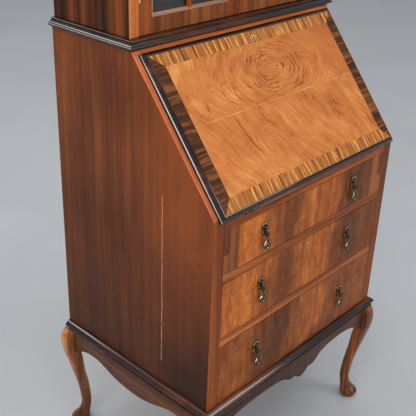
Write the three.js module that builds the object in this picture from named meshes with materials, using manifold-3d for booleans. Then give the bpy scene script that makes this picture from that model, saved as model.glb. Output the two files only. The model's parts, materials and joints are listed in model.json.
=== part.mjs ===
// Bureau bookcase: a slope-fronted writing bureau on cabriole legs, with a glazed bookcase on top.
// Millimetres, +Z up, +X to the right of someone facing the front, front towards -Y.
// The origin is on the floor, under the middle of the bureau's carcase.
// Pieces are placed in the carcase frame: x = 0 in the middle, y = 0 on the carcase front,
// z = 0 at the carcase bottom. The last section moves that frame up onto the legs.

import * as THREE from "three";
import { mergeVertices } from "three/addons/utils/BufferGeometryUtils.js";
import Module from "manifold-3d";

const wasm = await Module();
wasm.setup();

// ---------------------------------------------------------------- driving dimensions

const HALF_WIDTH = 305;
const DEPTH = 459;
const STAND_HEIGHT = 321;
const GAP = 0.3;

// Cutting blocks run this far past what they cut.
const PAST = 5;

// Bureau carcase. The slope runs from the front edge of the sides back to the bureau top.
const SIDE_THICKNESS = 19;
const STILE_WIDTH = 29.5;
const STILE_DEPTH = 22;
const SLOPE_LOW_Z = 448;
const BUREAU_TOP_Z = 716;
const SLOPE_RUN = 221;
const TOP_BOARD = 18;
const BACK_THICKNESS = 9;

// Drawer openings between the carcase bottom, the two rails and the desk floor.
const BOTTOM_TOP_Z = 4.7;
const RAIL_LOWER = [150, 170];
const RAIL_UPPER = [300, 320];
const TOP_DRAWER_HALF = 233;
const DRAWER_GAP = 0.6;
const DRAWER_FRONT = 19;
const DRAWER_DEPTH = 430;

// Lopers: the two bearers that slide out to carry the fall.
const LOPER_INNER_X = 259;
const LOPER_BOTTOM_Z = 364;
const LOPER_LENGTH = 380;
const LOPER_GUIDE_END = 440;

// Fall, in slope coordinates: x, s up the slope from the carcase front, n out from the slope.
const FALL_S = [-8.5, 338];
const FALL_HALF = 295;
const FALL_PROUD = 12.5;
const FALL_INSIDE = 6.5;
const FALL_MOULDING = 10.7;

// Fall hinges.
const HINGE_X = 200;
const HINGE_HALF = 19;
const HINGE_LEAF = 22;
const HINGE_LEAF_THICKNESS = 1.6;
const KNUCKLE = 2.6;
const KNUCKLE_HALF = 9.5;
const HINGE_PIN = 1.1;

// Drawer handles: centres across the front, and the tops of their back plates.
const HANDLE_X = 156;
const HANDLE_TOPS = { top: 394, middle: 266, bottom: 104 };
const HANDLE_PIVOT_Y = -9;
const HANDLE_PIVOT_DROP = 24.5;

// Bookcase.
const WAIST_HEIGHT = 20;
const BOOKCASE_FRONT_Y = 232.3;
const BOOKCASE_HALF = 298.2;
const BOOKCASE_SIDE = 22.4;
const BOOKCASE_HEIGHT = 860;
const DOOR_THICKNESS = 19;
const DOOR_FRAME = 33.5;
const DOOR_TOP_RAIL = 40;
const FRIEZE_HEIGHT = 39;
const GLAZING_BAR = 7.5;
const GLASS_THICKNESS = 3;
const SHELF_HEIGHTS = [274, 553];
const CORNICE_HEIGHT = 44;

// ---------------------------------------------------------------- derived places

const SLOPE_ANGLE = Math.atan2(BUREAU_TOP_Z - SLOPE_LOW_Z, SLOPE_RUN);
const slopeY = (s, n) => s * Math.cos(SLOPE_ANGLE) - n * Math.sin(SLOPE_ANGLE);
const slopeZ = (s, n) => SLOPE_LOW_Z + s * Math.sin(SLOPE_ANGLE) + n * Math.cos(SLOPE_ANGLE);
const PIVOT_Y = slopeY(FALL_S[0], -FALL_INSIDE);
const PIVOT_Z = slopeZ(FALL_S[0], -FALL_INSIDE);
const DESK_Z = PIVOT_Z;
const DESK_UNDER_Z = DESK_Z - FALL_PROUD - FALL_INSIDE;
const INNER_HALF = HALF_WIDTH - SIDE_THICKNESS;
const STILE_X = HALF_WIDTH - STILE_WIDTH;
const BACK_Y = DEPTH - BACK_THICKNESS;
const WAIST_Z = BUREAU_TOP_Z + WAIST_HEIGHT;
const BOOKCASE_TOP_Z = WAIST_Z + BOOKCASE_HEIGHT;
const DOOR_HALF = BOOKCASE_HALF - BOOKCASE_SIDE;

// ---------------------------------------------------------------- materials

const finish = (color, roughness, metalness = 0) =>
  new THREE.MeshStandardMaterial({ color, roughness, metalness });
const SIDE_WALNUT = finish(0x5a3320, 0.38);
const RAIL_WALNUT = finish(0x9a6238, 0.4);
const FIGURED_WALNUT = finish(0xc07a3e, 0.32);
const DRAWER_WALNUT = finish(0x9c5a2c, 0.34);
const EBONISED = finish(0x2c2320, 0.3);
const STAND_WALNUT = finish(0x5d3a24, 0.4);
const OAK = finish(0xb08a5a, 0.6);
const BRASS = finish(0x8c7a56, 0.4, 0.9);
const GLASS = finish(0xdfe8e6, 0.05);

// ---------------------------------------------------------------- geometry helpers

function merged(geometry) {
  const bare = geometry.clone();
  bare.deleteAttribute("normal");
  bare.deleteAttribute("uv");
  return mergeVertices(bare, 1e-4);
}

function toSolid(geometry) {
  const { attributes, index } = merged(geometry);
  return new wasm.Manifold(
    new wasm.Mesh({
      numProp: 3,
      vertProperties: new Float32Array(attributes.position.array),
      triVerts: new Uint32Array(index.array),
    }),
  );
}

function toGeometry(solid) {
  const { vertProperties, triVerts } = solid.getMesh();
  const geometry = new THREE.BufferGeometry();
  geometry.setAttribute("position", new THREE.BufferAttribute(vertProperties, 3));
  geometry.setIndex(new THREE.BufferAttribute(triVerts, 1));
  geometry.computeVertexNormals();
  return geometry;
}

// A box from its limits along each axis.
function box([x0, x1], [y0, y1], [z0, z1]) {
  const geometry = new THREE.BoxGeometry(x1 - x0, y1 - y0, z1 - z0);
  return geometry.translate((x0 + x1) / 2, (y0 + y1) / 2, (z0 + z1) / 2);
}

const block = (x, y, z) => toSolid(box(x, y, z));
const both = (half) => [-half, half];

// A rod along X.
function rod(radius, [x0, x1], y, z, sides = 16) {
  const geometry = new THREE.CylinderGeometry(radius, radius, x1 - x0, sides);
  return toSolid(geometry.rotateZ(-Math.PI / 2).translate((x0 + x1) / 2, y, z));
}

// An outline of [y, z] points, extruded along X.
function extrudeX(points, [x0, x1]) {
  const shape = new THREE.Shape(points.map(([y, z]) => new THREE.Vector2(y, z)));
  const geometry = new THREE.ExtrudeGeometry(shape, { depth: x1 - x0, bevelEnabled: false });
  const turn = new THREE.Matrix4().makeBasis(
    new THREE.Vector3(0, 1, 0),
    new THREE.Vector3(0, 0, 1),
    new THREE.Vector3(1, 0, 0),
  );
  return geometry.applyMatrix4(turn).translate(x0, 0, 0);
}

// A shape drawn in x and z, extruded along Y.
function extrudeY(shape, [y0, y1], curveSegments = 6) {
  const geometry = new THREE.ExtrudeGeometry(shape, {
    depth: y1 - y0,
    bevelEnabled: false,
    curveSegments,
  });
  return geometry.rotateX(Math.PI / 2).translate(0, y1, 0);
}

// A closed solid through rings of points that all have the same count.
function loft(rings) {
  const count = rings[0].length;
  const positions = rings.flat(2);
  const index = [];
  for (let ring = 0; ring < rings.length - 1; ring += 1) {
    for (let i = 0; i < count; i += 1) {
      const a = ring * count + i;
      const b = ring * count + ((i + 1) % count);
      index.push(a, b, b + count, a, b + count, a + count);
    }
  }
  const last = (rings.length - 1) * count;
  for (let i = 1; i < count - 1; i += 1) {
    index.push(0, i + 1, i);
    index.push(last, last + i, last + i + 1);
  }
  const geometry = new THREE.BufferGeometry();
  geometry.setAttribute("position", new THREE.Float32BufferAttribute(positions, 3));
  geometry.setIndex(index);
  geometry.computeVertexNormals();
  return geometry;
}

// A rectangle of points, counter-clockwise seen from above.
const rectangle = ([x0, x1], [y0, y1], z) => [
  [x0, y0, z],
  [x1, y0, z],
  [x1, y1, z],
  [x0, y1, z],
];

// The same piece on the other side of the desk.
function mirrored(geometry) {
  const flipped = merged(geometry).scale(-1, 1, 1);
  const index = flipped.index.array;
  for (let i = 0; i < index.length; i += 3) {
    [index[i + 1], index[i + 2]] = [index[i + 2], index[i + 1]];
  }
  flipped.computeVertexNormals();
  return flipped;
}

const carcase = new THREE.Group();
const slope = new THREE.Group();

function add(name, geometry, material, parent = carcase) {
  const mesh = new THREE.Mesh(geometry, material);
  mesh.name = name;
  parent.add(mesh);
}

function addPair(name, right, material, parent = carcase) {
  add(`${name}_right`, right, material, parent);
  add(`${name}_left`, mirrored(right), material, parent);
}

// ---------------------------------------------------------------- stand

// Heights down a cabriole leg: how far its faces stand out from the carcase corner, how far they
// reach in from it, and the exponent of the section's superellipse (2 is round, 5 nearly square).
const LEG_LEVELS = [
  { z: -25.3, out: 10.8, inside: 18.3, squareness: 5 },
  { z: -36, out: 15.4, inside: 18.3, squareness: 5 },
  { z: -51, out: 18.3, inside: 18.3, squareness: 5 },
  { z: -66, out: 19, inside: 18.3, squareness: 5 },
  { z: -80, out: 18.4, inside: 18.3, squareness: 5 },
  { z: -94, out: 16.2, inside: 18.6, squareness: 4.6 },
  { z: -116, out: 11.8, inside: 22, squareness: 4 },
  { z: -157, out: 2.8, inside: 25.2, squareness: 3 },
  { z: -198, out: -5, inside: 30.6, squareness: 2.4 },
  { z: -243, out: -9.1, inside: 34.5, squareness: 2 },
  { z: -264, out: -8, inside: 34.3, squareness: 2 },
  { z: -284, out: -0.6, inside: 33.8, squareness: 2 },
  { z: -299, out: 10.7, inside: 34.1, squareness: 2 },
  { z: -309, out: 13.3, inside: 34.3, squareness: 2 },
  { z: -317, out: 11, inside: 32.4, squareness: 2 },
  { z: -321, out: 6.5, inside: 28, squareness: 2 },
];
const LEG_SIDES = 16;
const LEG_RING_PHASE = 0.5;

function legRing({ z, out, inside, squareness }) {
  const half = (out + inside) / 2;
  const centre = (out - inside) / 2;
  const ring = [];
  for (let i = 0; i < LEG_SIDES; i += 1) {
    const angle = ((i + LEG_RING_PHASE) / LEG_SIDES) * 2 * Math.PI;
    const rounded = (value) => Math.sign(value) * Math.abs(value) ** (2 / squareness);
    ring.push([
      HALF_WIDTH + centre + half * rounded(Math.cos(angle)),
      -centre + half * rounded(Math.sin(angle)),
      z,
    ]);
  }
  return ring;
}

function leg() {
  return loft(LEG_LEVELS.map(legRing).reverse());
}

function turnedToRear(geometry) {
  const copy = geometry.clone().rotateZ(Math.PI);
  return copy.translate(0, DEPTH, 0);
}

addPair("leg_front", leg(), STAND_WALNUT);
add("leg_rear_left", turnedToRear(leg()), STAND_WALNUT);
add("leg_rear_right", turnedToRear(mirrored(leg())), STAND_WALNUT);

const APRON_THICKNESS = 20;
const APRON_PROUD = 5;
const APRON_TOP_Z = -25.3;
const APRON_END_Z = -90;
const APRON_HALF = 286.3;
const APRON_SIDE_END = 18.8;

// The front apron has a pendant with a cusp on each side of it, which sits right of the middle.
const PENDANT_X = 27;
const PENDANT_HALF = 32;

function frontApron() {
  const shape = new THREE.Shape();
  const left = PENDANT_X - PENDANT_HALF;
  const right = PENDANT_X + PENDANT_HALF;
  shape.moveTo(-APRON_HALF, APRON_TOP_Z);
  shape.lineTo(-APRON_HALF, APRON_END_Z);
  shape.bezierCurveTo(-252, -68, -215, -57.5, -160, -57);
  shape.bezierCurveTo(-95, -57, -62, -58.5, -40, -69);
  shape.quadraticCurveTo(-22, -80, left - 5, -82.5);
  shape.quadraticCurveTo(left - 1, -82.5, left, -81);
  shape.bezierCurveTo(left + 14, -81, left + 16, -95.5, PENDANT_X, -95.5);
  shape.bezierCurveTo(right - 16, -95.5, right - 14, -81, right, -81);
  shape.quadraticCurveTo(right + 1, -82.5, right + 5, -82.5);
  shape.quadraticCurveTo(81, -79, 96, -67);
  shape.bezierCurveTo(118, -56, 150, -53, 185, -54);
  shape.bezierCurveTo(235, -56, 255, -69, APRON_HALF, APRON_END_Z);
  shape.lineTo(APRON_HALF, APRON_TOP_Z);
  return extrudeY(shape, [-APRON_PROUD, APRON_THICKNESS - APRON_PROUD], 5);
}

// The side aprons are one long cyma: low in the middle, with an arch beside each leg.
function sideApron() {
  const middle = DEPTH / 2;
  const half = middle - APRON_SIDE_END;
  const shape = new THREE.Shape();
  shape.moveTo(middle - half, APRON_TOP_Z);
  shape.lineTo(middle - half, APRON_END_Z);
  shape.quadraticCurveTo(middle - 175, -63, middle - 138, -62);
  shape.bezierCurveTo(middle - 95, -61, middle - 75, -88, middle, -88);
  shape.bezierCurveTo(middle + 75, -88, middle + 95, -61, middle + 138, -62);
  shape.quadraticCurveTo(middle + 175, -63, middle + half, APRON_END_Z);
  shape.lineTo(middle + half, APRON_TOP_Z);
  const points = shape.getPoints(6).map((point) => [point.x, point.y]);
  const outer = HALF_WIDTH + APRON_PROUD;
  return extrudeX(points, [outer - APRON_THICKNESS, outer]);
}

const REAR_RAIL_Y = [DEPTH - 16, DEPTH + 4];
const REAR_RAIL_Z = [-85, APRON_TOP_Z];
add("apron_front", frontApron(), STAND_WALNUT);
addPair("apron_side", sideApron(), STAND_WALNUT);
add("apron_rear", box(both(APRON_HALF), REAR_RAIL_Y, REAR_RAIL_Z), STAND_WALNUT);

// ---------------------------------------------------------------- mouldings round the carcase

// A board whose front and side edges follow a profile of [projection, height] points.
function mouldedBoard(profile, half, frontY) {
  return loft(
    profile.map(([out, z]) => rectangle(both(half + out), [frontY - out, DEPTH], z)),
  );
}

const BASE_PROFILE = [
  [6, -25],
  [10, -24.8],
  [11.2, -23],
  [10.6, -21.2],
  [8.4, -20.4],
  [7.9, -18],
  [9.4, -14.6],
  [12.6, -12.6],
  [13.4, -10.6],
  [12.4, -8],
  [8.6, -3.6],
  [4, -0.9],
  [1.2, -0.3],
];
const FRAME_HALF = 270;
const FRAME_Y = [30, 430];

function baseMoulding() {
  const board = toSolid(mouldedBoard(BASE_PROFILE, HALF_WIDTH, 0));
  return toGeometry(board.subtract(block(both(FRAME_HALF), FRAME_Y, [-30, PAST])));
}

const WAIST_PROFILE = [
  [2, 0.3],
  [2.2, 3.2],
  [8.6, 4.2],
  [10.6, 6],
  [10.4, 8],
  [8.2, 9],
  [7.6, 10.4],
  [4.6, 13],
  [2, 15],
  [0.9, 16.2],
  [1.5, 17.4],
  [1.2, 19],
  [-0.6, 19.7],
];

function waistMoulding() {
  const profile = WAIST_PROFILE.map(([out, z]) => [out, BUREAU_TOP_Z + z]);
  return mouldedBoard(profile, HALF_WIDTH, SLOPE_RUN);
}

add("base_moulding", baseMoulding(), EBONISED);
add("waist_moulding", waistMoulding(), EBONISED);

// ---------------------------------------------------------------- bureau carcase

function bureauSide() {
  const outline = [
    [0, 0],
    [DEPTH, 0],
    [DEPTH, BUREAU_TOP_Z],
    [SLOPE_RUN, BUREAU_TOP_Z],
    [0, SLOPE_LOW_Z],
  ];
  const panel = toSolid(extrudeX(outline, [INNER_HALF, HALF_WIDTH]));
  const stile = block([STILE_X, INNER_HALF + 1], [0, STILE_DEPTH], [0, DESK_Z - GAP]);
  return toGeometry(panel.add(stile));
}

// A board between the sides, notched round the stiles at the front.
function boardBetweenSides([z0, z1], backY = BACK_Y - GAP) {
  const inner = block(both(INNER_HALF - GAP), [STILE_DEPTH + GAP, backY], [z0, z1]);
  const nose = block(both(STILE_X - GAP), [0, STILE_DEPTH + 2 * GAP], [z0, z1]);
  return inner.add(nose);
}

function bureauBottom() {
  const plate = boardBetweenSides([GAP, BOTTOM_TOP_Z]);
  const inFrame = block(
    both(FRAME_HALF - GAP),
    [FRAME_Y[0] + GAP, FRAME_Y[1] - GAP],
    [-14, BOTTOM_TOP_Z - 1],
  );
  return toGeometry(plate.add(inFrame));
}

// A drawer rail with the dust board that runs back from its upper edge.
const RAIL_DEPTH = 60;
const DUST_BOARD = 8;

function drawerRail([z0, z1]) {
  const under = block(both(HALF_WIDTH), [RAIL_DEPTH, DEPTH], [z0 - 1, z1 - DUST_BOARD]);
  return toGeometry(boardBetweenSides([z0, z1]).subtract(under));
}

function bureauTop() {
  const under = BUREAU_TOP_Z - TOP_BOARD;
  const bevelY = ((under - SLOPE_LOW_Z) / (BUREAU_TOP_Z - SLOPE_LOW_Z)) * SLOPE_RUN;
  const outline = [
    [bevelY, under],
    [BACK_Y - GAP, under],
    [BACK_Y - GAP, BUREAU_TOP_Z],
    [SLOPE_RUN, BUREAU_TOP_Z],
  ];
  return extrudeX(outline, both(INNER_HALF - GAP));
}

// The divider beside the top drawer, the block under the loper and the guide beside it.
function loperHousing() {
  const top = DESK_UNDER_Z - GAP;
  const zRange = [RAIL_UPPER[1] + GAP, top];
  const nose = block([TOP_DRAWER_HALF, STILE_X - GAP], [0, STILE_DEPTH + 2 * GAP], zRange);
  const body = block([TOP_DRAWER_HALF, INNER_HALF - GAP], [STILE_DEPTH + GAP, LOPER_GUIDE_END], zRange);
  const slotZ = [LOPER_BOTTOM_Z, top + PAST];
  const slot = block([LOPER_INNER_X, STILE_X], [-PAST, LOPER_GUIDE_END + PAST], slotZ);
  return toGeometry(nose.add(body).subtract(slot));
}

function writingBed() {
  const board = boardBetweenSides([DESK_UNDER_Z, DESK_Z]);
  return toGeometry(cutForHinges(board, [PIVOT_Y - 1, PIVOT_Y + HINGE_LEAF + 2 * GAP]));
}

// Recesses for the leaves and knuckles that lie flush in the desk floor.
function cutForHinges(board, yRange) {
  const leafZ = [DESK_Z - HINGE_LEAF_THICKNESS - GAP, DESK_Z + PAST];
  let cut = board;
  for (const x of [-HINGE_X, HINGE_X]) {
    const across = [x - HINGE_HALF - GAP, x + HINGE_HALF + GAP];
    cut = cut.subtract(block(across, yRange, leafZ));
    cut = cut.subtract(rod(KNUCKLE + 2 * GAP, across, PIVOT_Y, PIVOT_Z));
  }
  return cut;
}

addPair("bureau_side", bureauSide(), SIDE_WALNUT);
const BUREAU_BACK_Z = [GAP, BUREAU_TOP_Z];
add("bureau_back", box(both(INNER_HALF - GAP), [BACK_Y, DEPTH], BUREAU_BACK_Z), OAK);
add("bureau_bottom", bureauBottom(), RAIL_WALNUT);
add("drawer_rail_lower", drawerRail(RAIL_LOWER), RAIL_WALNUT);
add("drawer_rail_upper", drawerRail(RAIL_UPPER), RAIL_WALNUT);
add("writing_bed", writingBed(), RAIL_WALNUT);
add("bureau_top", bureauTop(), RAIL_WALNUT);
addPair("loper_housing", loperHousing(), RAIL_WALNUT);

function loper() {
  const across = [LOPER_INNER_X + GAP, STILE_X - GAP];
  return box(across, [0, LOPER_LENGTH], [LOPER_BOTTOM_Z + GAP, DESK_UNDER_Z - 2 * GAP]);
}

addPair("loper", loper(), RAIL_WALNUT);

// ---------------------------------------------------------------- fall, in slope coordinates

const TONGUE_HALF = INNER_HALF - 0.4;
const TONGUE_TOP = 322;
const FACE_HALF = FALL_HALF - FALL_MOULDING - GAP;
const FACE_S = [FALL_S[0] + FALL_MOULDING + GAP, FALL_S[1] - FALL_MOULDING - GAP];

// The board inside the moulding, and the tongue behind it that drops between the sides.
function fallPanel() {
  const tongue = block(both(TONGUE_HALF), [FALL_S[0], TONGUE_TOP], [-FALL_INSIDE, 0]);
  const neck = block(both(FACE_HALF), [FACE_S[0], TONGUE_TOP], [-1, 1]);
  const face = block(both(FACE_HALF), FACE_S, [GAP, FALL_PROUD]);
  let panel = tongue.add(neck).add(face);
  for (const x of [-HINGE_X, HINGE_X]) {
    const across = [x - HINGE_HALF - GAP, x + HINGE_HALF + GAP];
    const leaf = [-FALL_INSIDE - 1, -FALL_INSIDE + HINGE_LEAF_THICKNESS + GAP];
    panel = panel.subtract(block(across, [FALL_S[0] - 1, FALL_S[0] + HINGE_LEAF + 2 * GAP], leaf));
    panel = panel.subtract(rod(KNUCKLE + 2 * GAP, across, FALL_S[0], -FALL_INSIDE));
  }
  return toGeometry(panel);
}

// Thumb moulding round the fall: [inset from the rim, height] points.
const THUMB_PROFILE = [
  [0, GAP],
  [0, 5.4],
  [0.9, 8.2],
  [2.8, 10.4],
  [6, 11.8],
  [FALL_MOULDING, 12.3],
];

function fallMoulding() {
  const rings = THUMB_PROFILE.map(([inset, n]) =>
    rectangle(both(FALL_HALF - inset), [FALL_S[0] + inset, FALL_S[1] - inset], n),
  );
  const opening = block(
    both(FALL_HALF - FALL_MOULDING),
    [FALL_S[0] + FALL_MOULDING, FALL_S[1] - FALL_MOULDING],
    [-PAST, FALL_PROUD + PAST],
  );
  return toGeometry(toSolid(loft(rings)).subtract(opening));
}

// Two knuckles of the fall leaf turn on the pin of the desk leaf, whose knuckle is between them.
function fallHingeLeaf() {
  const pivot = [FALL_S[0], -FALL_INSIDE];
  const plate = block(
    [HINGE_X - HINGE_HALF, HINGE_X + HINGE_HALF],
    [FALL_S[0], FALL_S[0] + HINGE_LEAF],
    [-FALL_INSIDE, -FALL_INSIDE + HINGE_LEAF_THICKNESS],
  );
  const middle = [HINGE_X - KNUCKLE_HALF, HINGE_X + KNUCKLE_HALF];
  const all = [HINGE_X - HINGE_HALF, HINGE_X + HINGE_HALF];
  const barrel = rod(KNUCKLE, all, ...pivot);
  const gap = rod(KNUCKLE + 2 * GAP, middle, ...pivot);
  const bore = rod(HINGE_PIN + 0.4, [all[0] - 1, all[1] + 1], ...pivot);
  return toGeometry(plate.add(barrel).subtract(gap).subtract(bore));
}

function deskHingeLeaf() {
  const plate = block(
    [HINGE_X - HINGE_HALF, HINGE_X + HINGE_HALF],
    [PIVOT_Y, PIVOT_Y + HINGE_LEAF],
    [DESK_Z - HINGE_LEAF_THICKNESS, DESK_Z],
  );
  const inner = KNUCKLE_HALF - GAP;
  const knuckle = rod(KNUCKLE, [HINGE_X - inner, HINGE_X + inner], PIVOT_Y, PIVOT_Z);
  const pin = rod(HINGE_PIN, [HINGE_X - HINGE_HALF, HINGE_X + HINGE_HALF], PIVOT_Y, PIVOT_Z);
  let leaf = plate;
  for (const side of [-1, 1]) {
    const from = HINGE_X + side * inner;
    const to = HINGE_X + side * (HINGE_HALF + 1);
    const range = [Math.min(from, to), Math.max(from, to)];
    leaf = leaf.subtract(rod(KNUCKLE + 2 * GAP, range, PIVOT_Y, PIVOT_Z));
  }
  return toGeometry(leaf.add(knuckle).add(pin));
}

slope.rotation.x = SLOPE_ANGLE;
slope.position.z = SLOPE_LOW_Z;
carcase.add(slope);
add("fall_panel", fallPanel(), FIGURED_WALNUT, slope);
add("fall_moulding", fallMoulding(), EBONISED, slope);
addPair("fall_hinge_leaf", fallHingeLeaf(), BRASS, slope);
addPair("desk_hinge_leaf", deskHingeLeaf(), BRASS);

// ---------------------------------------------------------------- drawers and their handles

const DRAWERS = {
  top: { half: TOP_DRAWER_HALF, z: [RAIL_UPPER[1], DESK_UNDER_Z] },
  middle: { half: STILE_X, z: [RAIL_LOWER[1], RAIL_UPPER[0]] },
  bottom: { half: STILE_X, z: [BOTTOM_TOP_Z, RAIL_LOWER[0]] },
};
const DRAWER_WALL = 9;
const DRAWER_FLOOR = 6;
const DRAWER_HEADROOM = 8;

function drawerFront({ half, z: [z0, z1] }) {
  return box(both(half - DRAWER_GAP), [0, DRAWER_FRONT], [z0 + DRAWER_GAP, z1 - DRAWER_GAP]);
}

function drawerBox({ half, z: [z0, z1] }) {
  const outer = half - 2;
  const bottom = z0 + DRAWER_GAP;
  const boxFront = DRAWER_FRONT + GAP;
  const shell = block(both(outer), [boxFront, DRAWER_DEPTH], [bottom, z1 - DRAWER_HEADROOM]);
  const inside = block(
    both(outer - DRAWER_WALL),
    [boxFront + DRAWER_WALL, DRAWER_DEPTH - DRAWER_WALL],
    [bottom + DRAWER_FLOOR, z1 + PAST],
  );
  return toGeometry(shell.subtract(inside));
}

// Both handle pieces are drawn round x = 0, with z measured down from the top of the back plate.
function symmetricShape(rightSide) {
  const leftSide = rightSide
    .filter(([x]) => x > 0)
    .map(([x, z]) => [-x, z])
    .reverse();
  return new THREE.Shape([...rightSide, ...leftSide].map(([x, z]) => new THREE.Vector2(x, z)));
}

const PLATE_OUTLINE = [
  [0, 0],
  [5.5, -1.2],
  [10.5, -5.5],
  [11, -11],
  [8, -16.5],
  [9, -22],
  [6, -27.5],
  [0, -30],
];
const DROP_OUTLINE = [
  [2.4, -26],
  [5, -35],
  [8.4, -42],
  [12.2, -47],
  [9.5, -52],
  [4.5, -54.5],
  [0, -60],
];
const DROP_HOLES = [
  { x: -3.6, z: -43.5 },
  { x: 3.6, z: -43.5 },
  { x: 0, z: -50 },
];
const DROP_HOLE_RADIUS = 1.9;
const DROP_HOLE_SIDES = 8;
const DROP_HALF_THICKNESS = 1.9;
const LUG_INNER = 3.2;
const LUG_OUTER = 5.4;
const LUG_HALF_HEIGHT = 2.4;
const LUG_PIN = 1.1;
const DROP_EYE = 3.2;
const DROP_BORE = 1.5;
const PLATE_Y = [-2.6, -GAP];
const BOSS_RADIUS = 5.5;
const BOSS_LENGTH = 5;
const BOSS_Y = -4.8;
const BOSS_Z = -11;

function handlePlate() {
  const plate = toSolid(extrudeY(symmetricShape(PLATE_OUTLINE), PLATE_Y));
  const boss = new THREE.CylinderGeometry(BOSS_RADIUS, BOSS_RADIUS * 0.55, BOSS_LENGTH, 12);
  boss.translate(0, BOSS_Y, BOSS_Z);
  let solid = plate.add(toSolid(boss));
  for (const side of [-1, 1]) {
    const x = [side * LUG_INNER, side * LUG_OUTER].sort((a, b) => a - b);
    const lugZ = [-HANDLE_PIVOT_DROP - LUG_HALF_HEIGHT, -HANDLE_PIVOT_DROP + LUG_HALF_HEIGHT];
    solid = solid.add(block(x, [HANDLE_PIVOT_Y - LUG_HALF_HEIGHT, -2], lugZ));
  }
  const pin = rod(LUG_PIN, both(LUG_OUTER - 0.2), HANDLE_PIVOT_Y, -HANDLE_PIVOT_DROP, 8);
  return toGeometry(solid.add(pin));
}

function handleDrop() {
  const shape = symmetricShape(DROP_OUTLINE);
  for (const { x, z } of DROP_HOLES) {
    const hole = [];
    for (let i = 0; i < DROP_HOLE_SIDES; i += 1) {
      const angle = (i / DROP_HOLE_SIDES) * 2 * Math.PI;
      const across = x + DROP_HOLE_RADIUS * Math.cos(angle);
      const up = z + DROP_HOLE_RADIUS * Math.sin(angle);
      hole.push(new THREE.Vector2(across, up));
    }
    shape.holes.push(new THREE.Path(hole));
  }
  const yRange = [HANDLE_PIVOT_Y - DROP_HALF_THICKNESS, HANDLE_PIVOT_Y + DROP_HALF_THICKNESS];
  const drop = toSolid(extrudeY(shape, yRange));
  const eyeHalf = LUG_INNER - GAP;
  const eye = rod(DROP_EYE, both(eyeHalf), HANDLE_PIVOT_Y, -HANDLE_PIVOT_DROP, 12);
  const bore = rod(DROP_BORE, both(eyeHalf + 1), HANDLE_PIVOT_Y, -HANDLE_PIVOT_DROP, 12);
  return toGeometry(drop.add(eye).subtract(bore));
}

for (const [level, drawer] of Object.entries(DRAWERS)) {
  add(`drawer_front_${level}`, drawerFront(drawer), DRAWER_WALNUT);
  add(`drawer_box_${level}`, drawerBox(drawer), OAK);
  for (const [side, x] of [["left", -HANDLE_X], ["right", HANDLE_X]]) {
    const place = [x, 0, HANDLE_TOPS[level]];
    add(`handle_plate_${level}_${side}`, handlePlate().translate(...place), BRASS);
    add(`handle_drop_${level}_${side}`, handleDrop().translate(...place), BRASS);
  }
}

// ---------------------------------------------------------------- fittings behind the fall

const UNIT_FRONT_Y = 252;
const PARTITION = 7;
const UNIT_HALF = INNER_HALF - 0.7;
const CENTRE_HALF = 93;
const INNER_DRAWER_HEIGHT = 48;
const CENTRE_BAY_HEIGHT = 115;
const UNIT_Z = [DESK_Z + GAP, BUREAU_TOP_Z - TOP_BOARD - GAP];
const UNIT_FLOOR_Z = UNIT_Z[0] + PARTITION;
const SIDE_BAY_X = [CENTRE_HALF + PARTITION, UNIT_HALF - PARTITION];
const INNER_DRAWER_END = BACK_Y - 12;
const INNER_DRAWER_WALL = 6;
const INNER_DRAWER_FLOOR = 4;
const INNER_DRAWER_FRONT = 9;

function pigeonholeUnit() {
  const through = [UNIT_FRONT_Y - PAST, BACK_Y + PAST];
  const ceiling = UNIT_Z[1] - PARTITION;
  const sideMiddle = (SIDE_BAY_X[0] + SIDE_BAY_X[1]) / 2;
  const shelfZ = UNIT_FLOOR_Z + INNER_DRAWER_HEIGHT;
  const centreShelfZ = UNIT_FLOOR_Z + CENTRE_BAY_HEIGHT;
  const bays = [[both(CENTRE_HALF), [UNIT_FLOOR_Z, centreShelfZ]]];
  for (const side of [-1, 1]) {
    const span = (a, b) => [side * a, side * b].sort((p, q) => p - q);
    const tall = [shelfZ + PARTITION, ceiling];
    bays.push([span(...SIDE_BAY_X), [UNIT_FLOOR_Z, shelfZ]]);
    bays.push([span(SIDE_BAY_X[0], sideMiddle - PARTITION / 2), tall]);
    bays.push([span(sideMiddle + PARTITION / 2, SIDE_BAY_X[1]), tall]);
    bays.push([span(PARTITION / 2, CENTRE_HALF), [centreShelfZ + PARTITION, ceiling]]);
  }
  let unit = block(both(UNIT_HALF), [UNIT_FRONT_Y, BACK_Y - GAP], UNIT_Z);
  for (const [x, z] of bays) {
    unit = unit.subtract(block(x, through, z));
  }
  return toGeometry(unit);
}

function innerDrawer() {
  const x = [SIDE_BAY_X[0] + DRAWER_GAP, SIDE_BAY_X[1] - DRAWER_GAP];
  const z = [UNIT_FLOOR_Z + DRAWER_GAP, UNIT_FLOOR_Z + INNER_DRAWER_HEIGHT - DRAWER_GAP];
  const shell = block(x, [UNIT_FRONT_Y, INNER_DRAWER_END], z);
  const inside = block(
    [x[0] + INNER_DRAWER_WALL, x[1] - INNER_DRAWER_WALL],
    [UNIT_FRONT_Y + INNER_DRAWER_FRONT, INNER_DRAWER_END - INNER_DRAWER_WALL],
    [z[0] + INNER_DRAWER_FLOOR, z[1] + PAST],
  );
  return toGeometry(shell.subtract(inside));
}

add("pigeonhole_unit", pigeonholeUnit(), OAK);
addPair("inner_drawer", innerDrawer(), OAK);

// ---------------------------------------------------------------- bookcase

const BOOKCASE_Y = [BOOKCASE_FRONT_Y, DEPTH];
const CARCASE_Y = [BOOKCASE_FRONT_Y + DOOR_THICKNESS + 1, BACK_Y - GAP];
const FRIEZE_Z = BOOKCASE_TOP_Z - FRIEZE_HEIGHT;

function bookcaseSide() {
  return box([DOOR_HALF, BOOKCASE_HALF], BOOKCASE_Y, [WAIST_Z, BOOKCASE_TOP_Z - GAP]);
}

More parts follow.
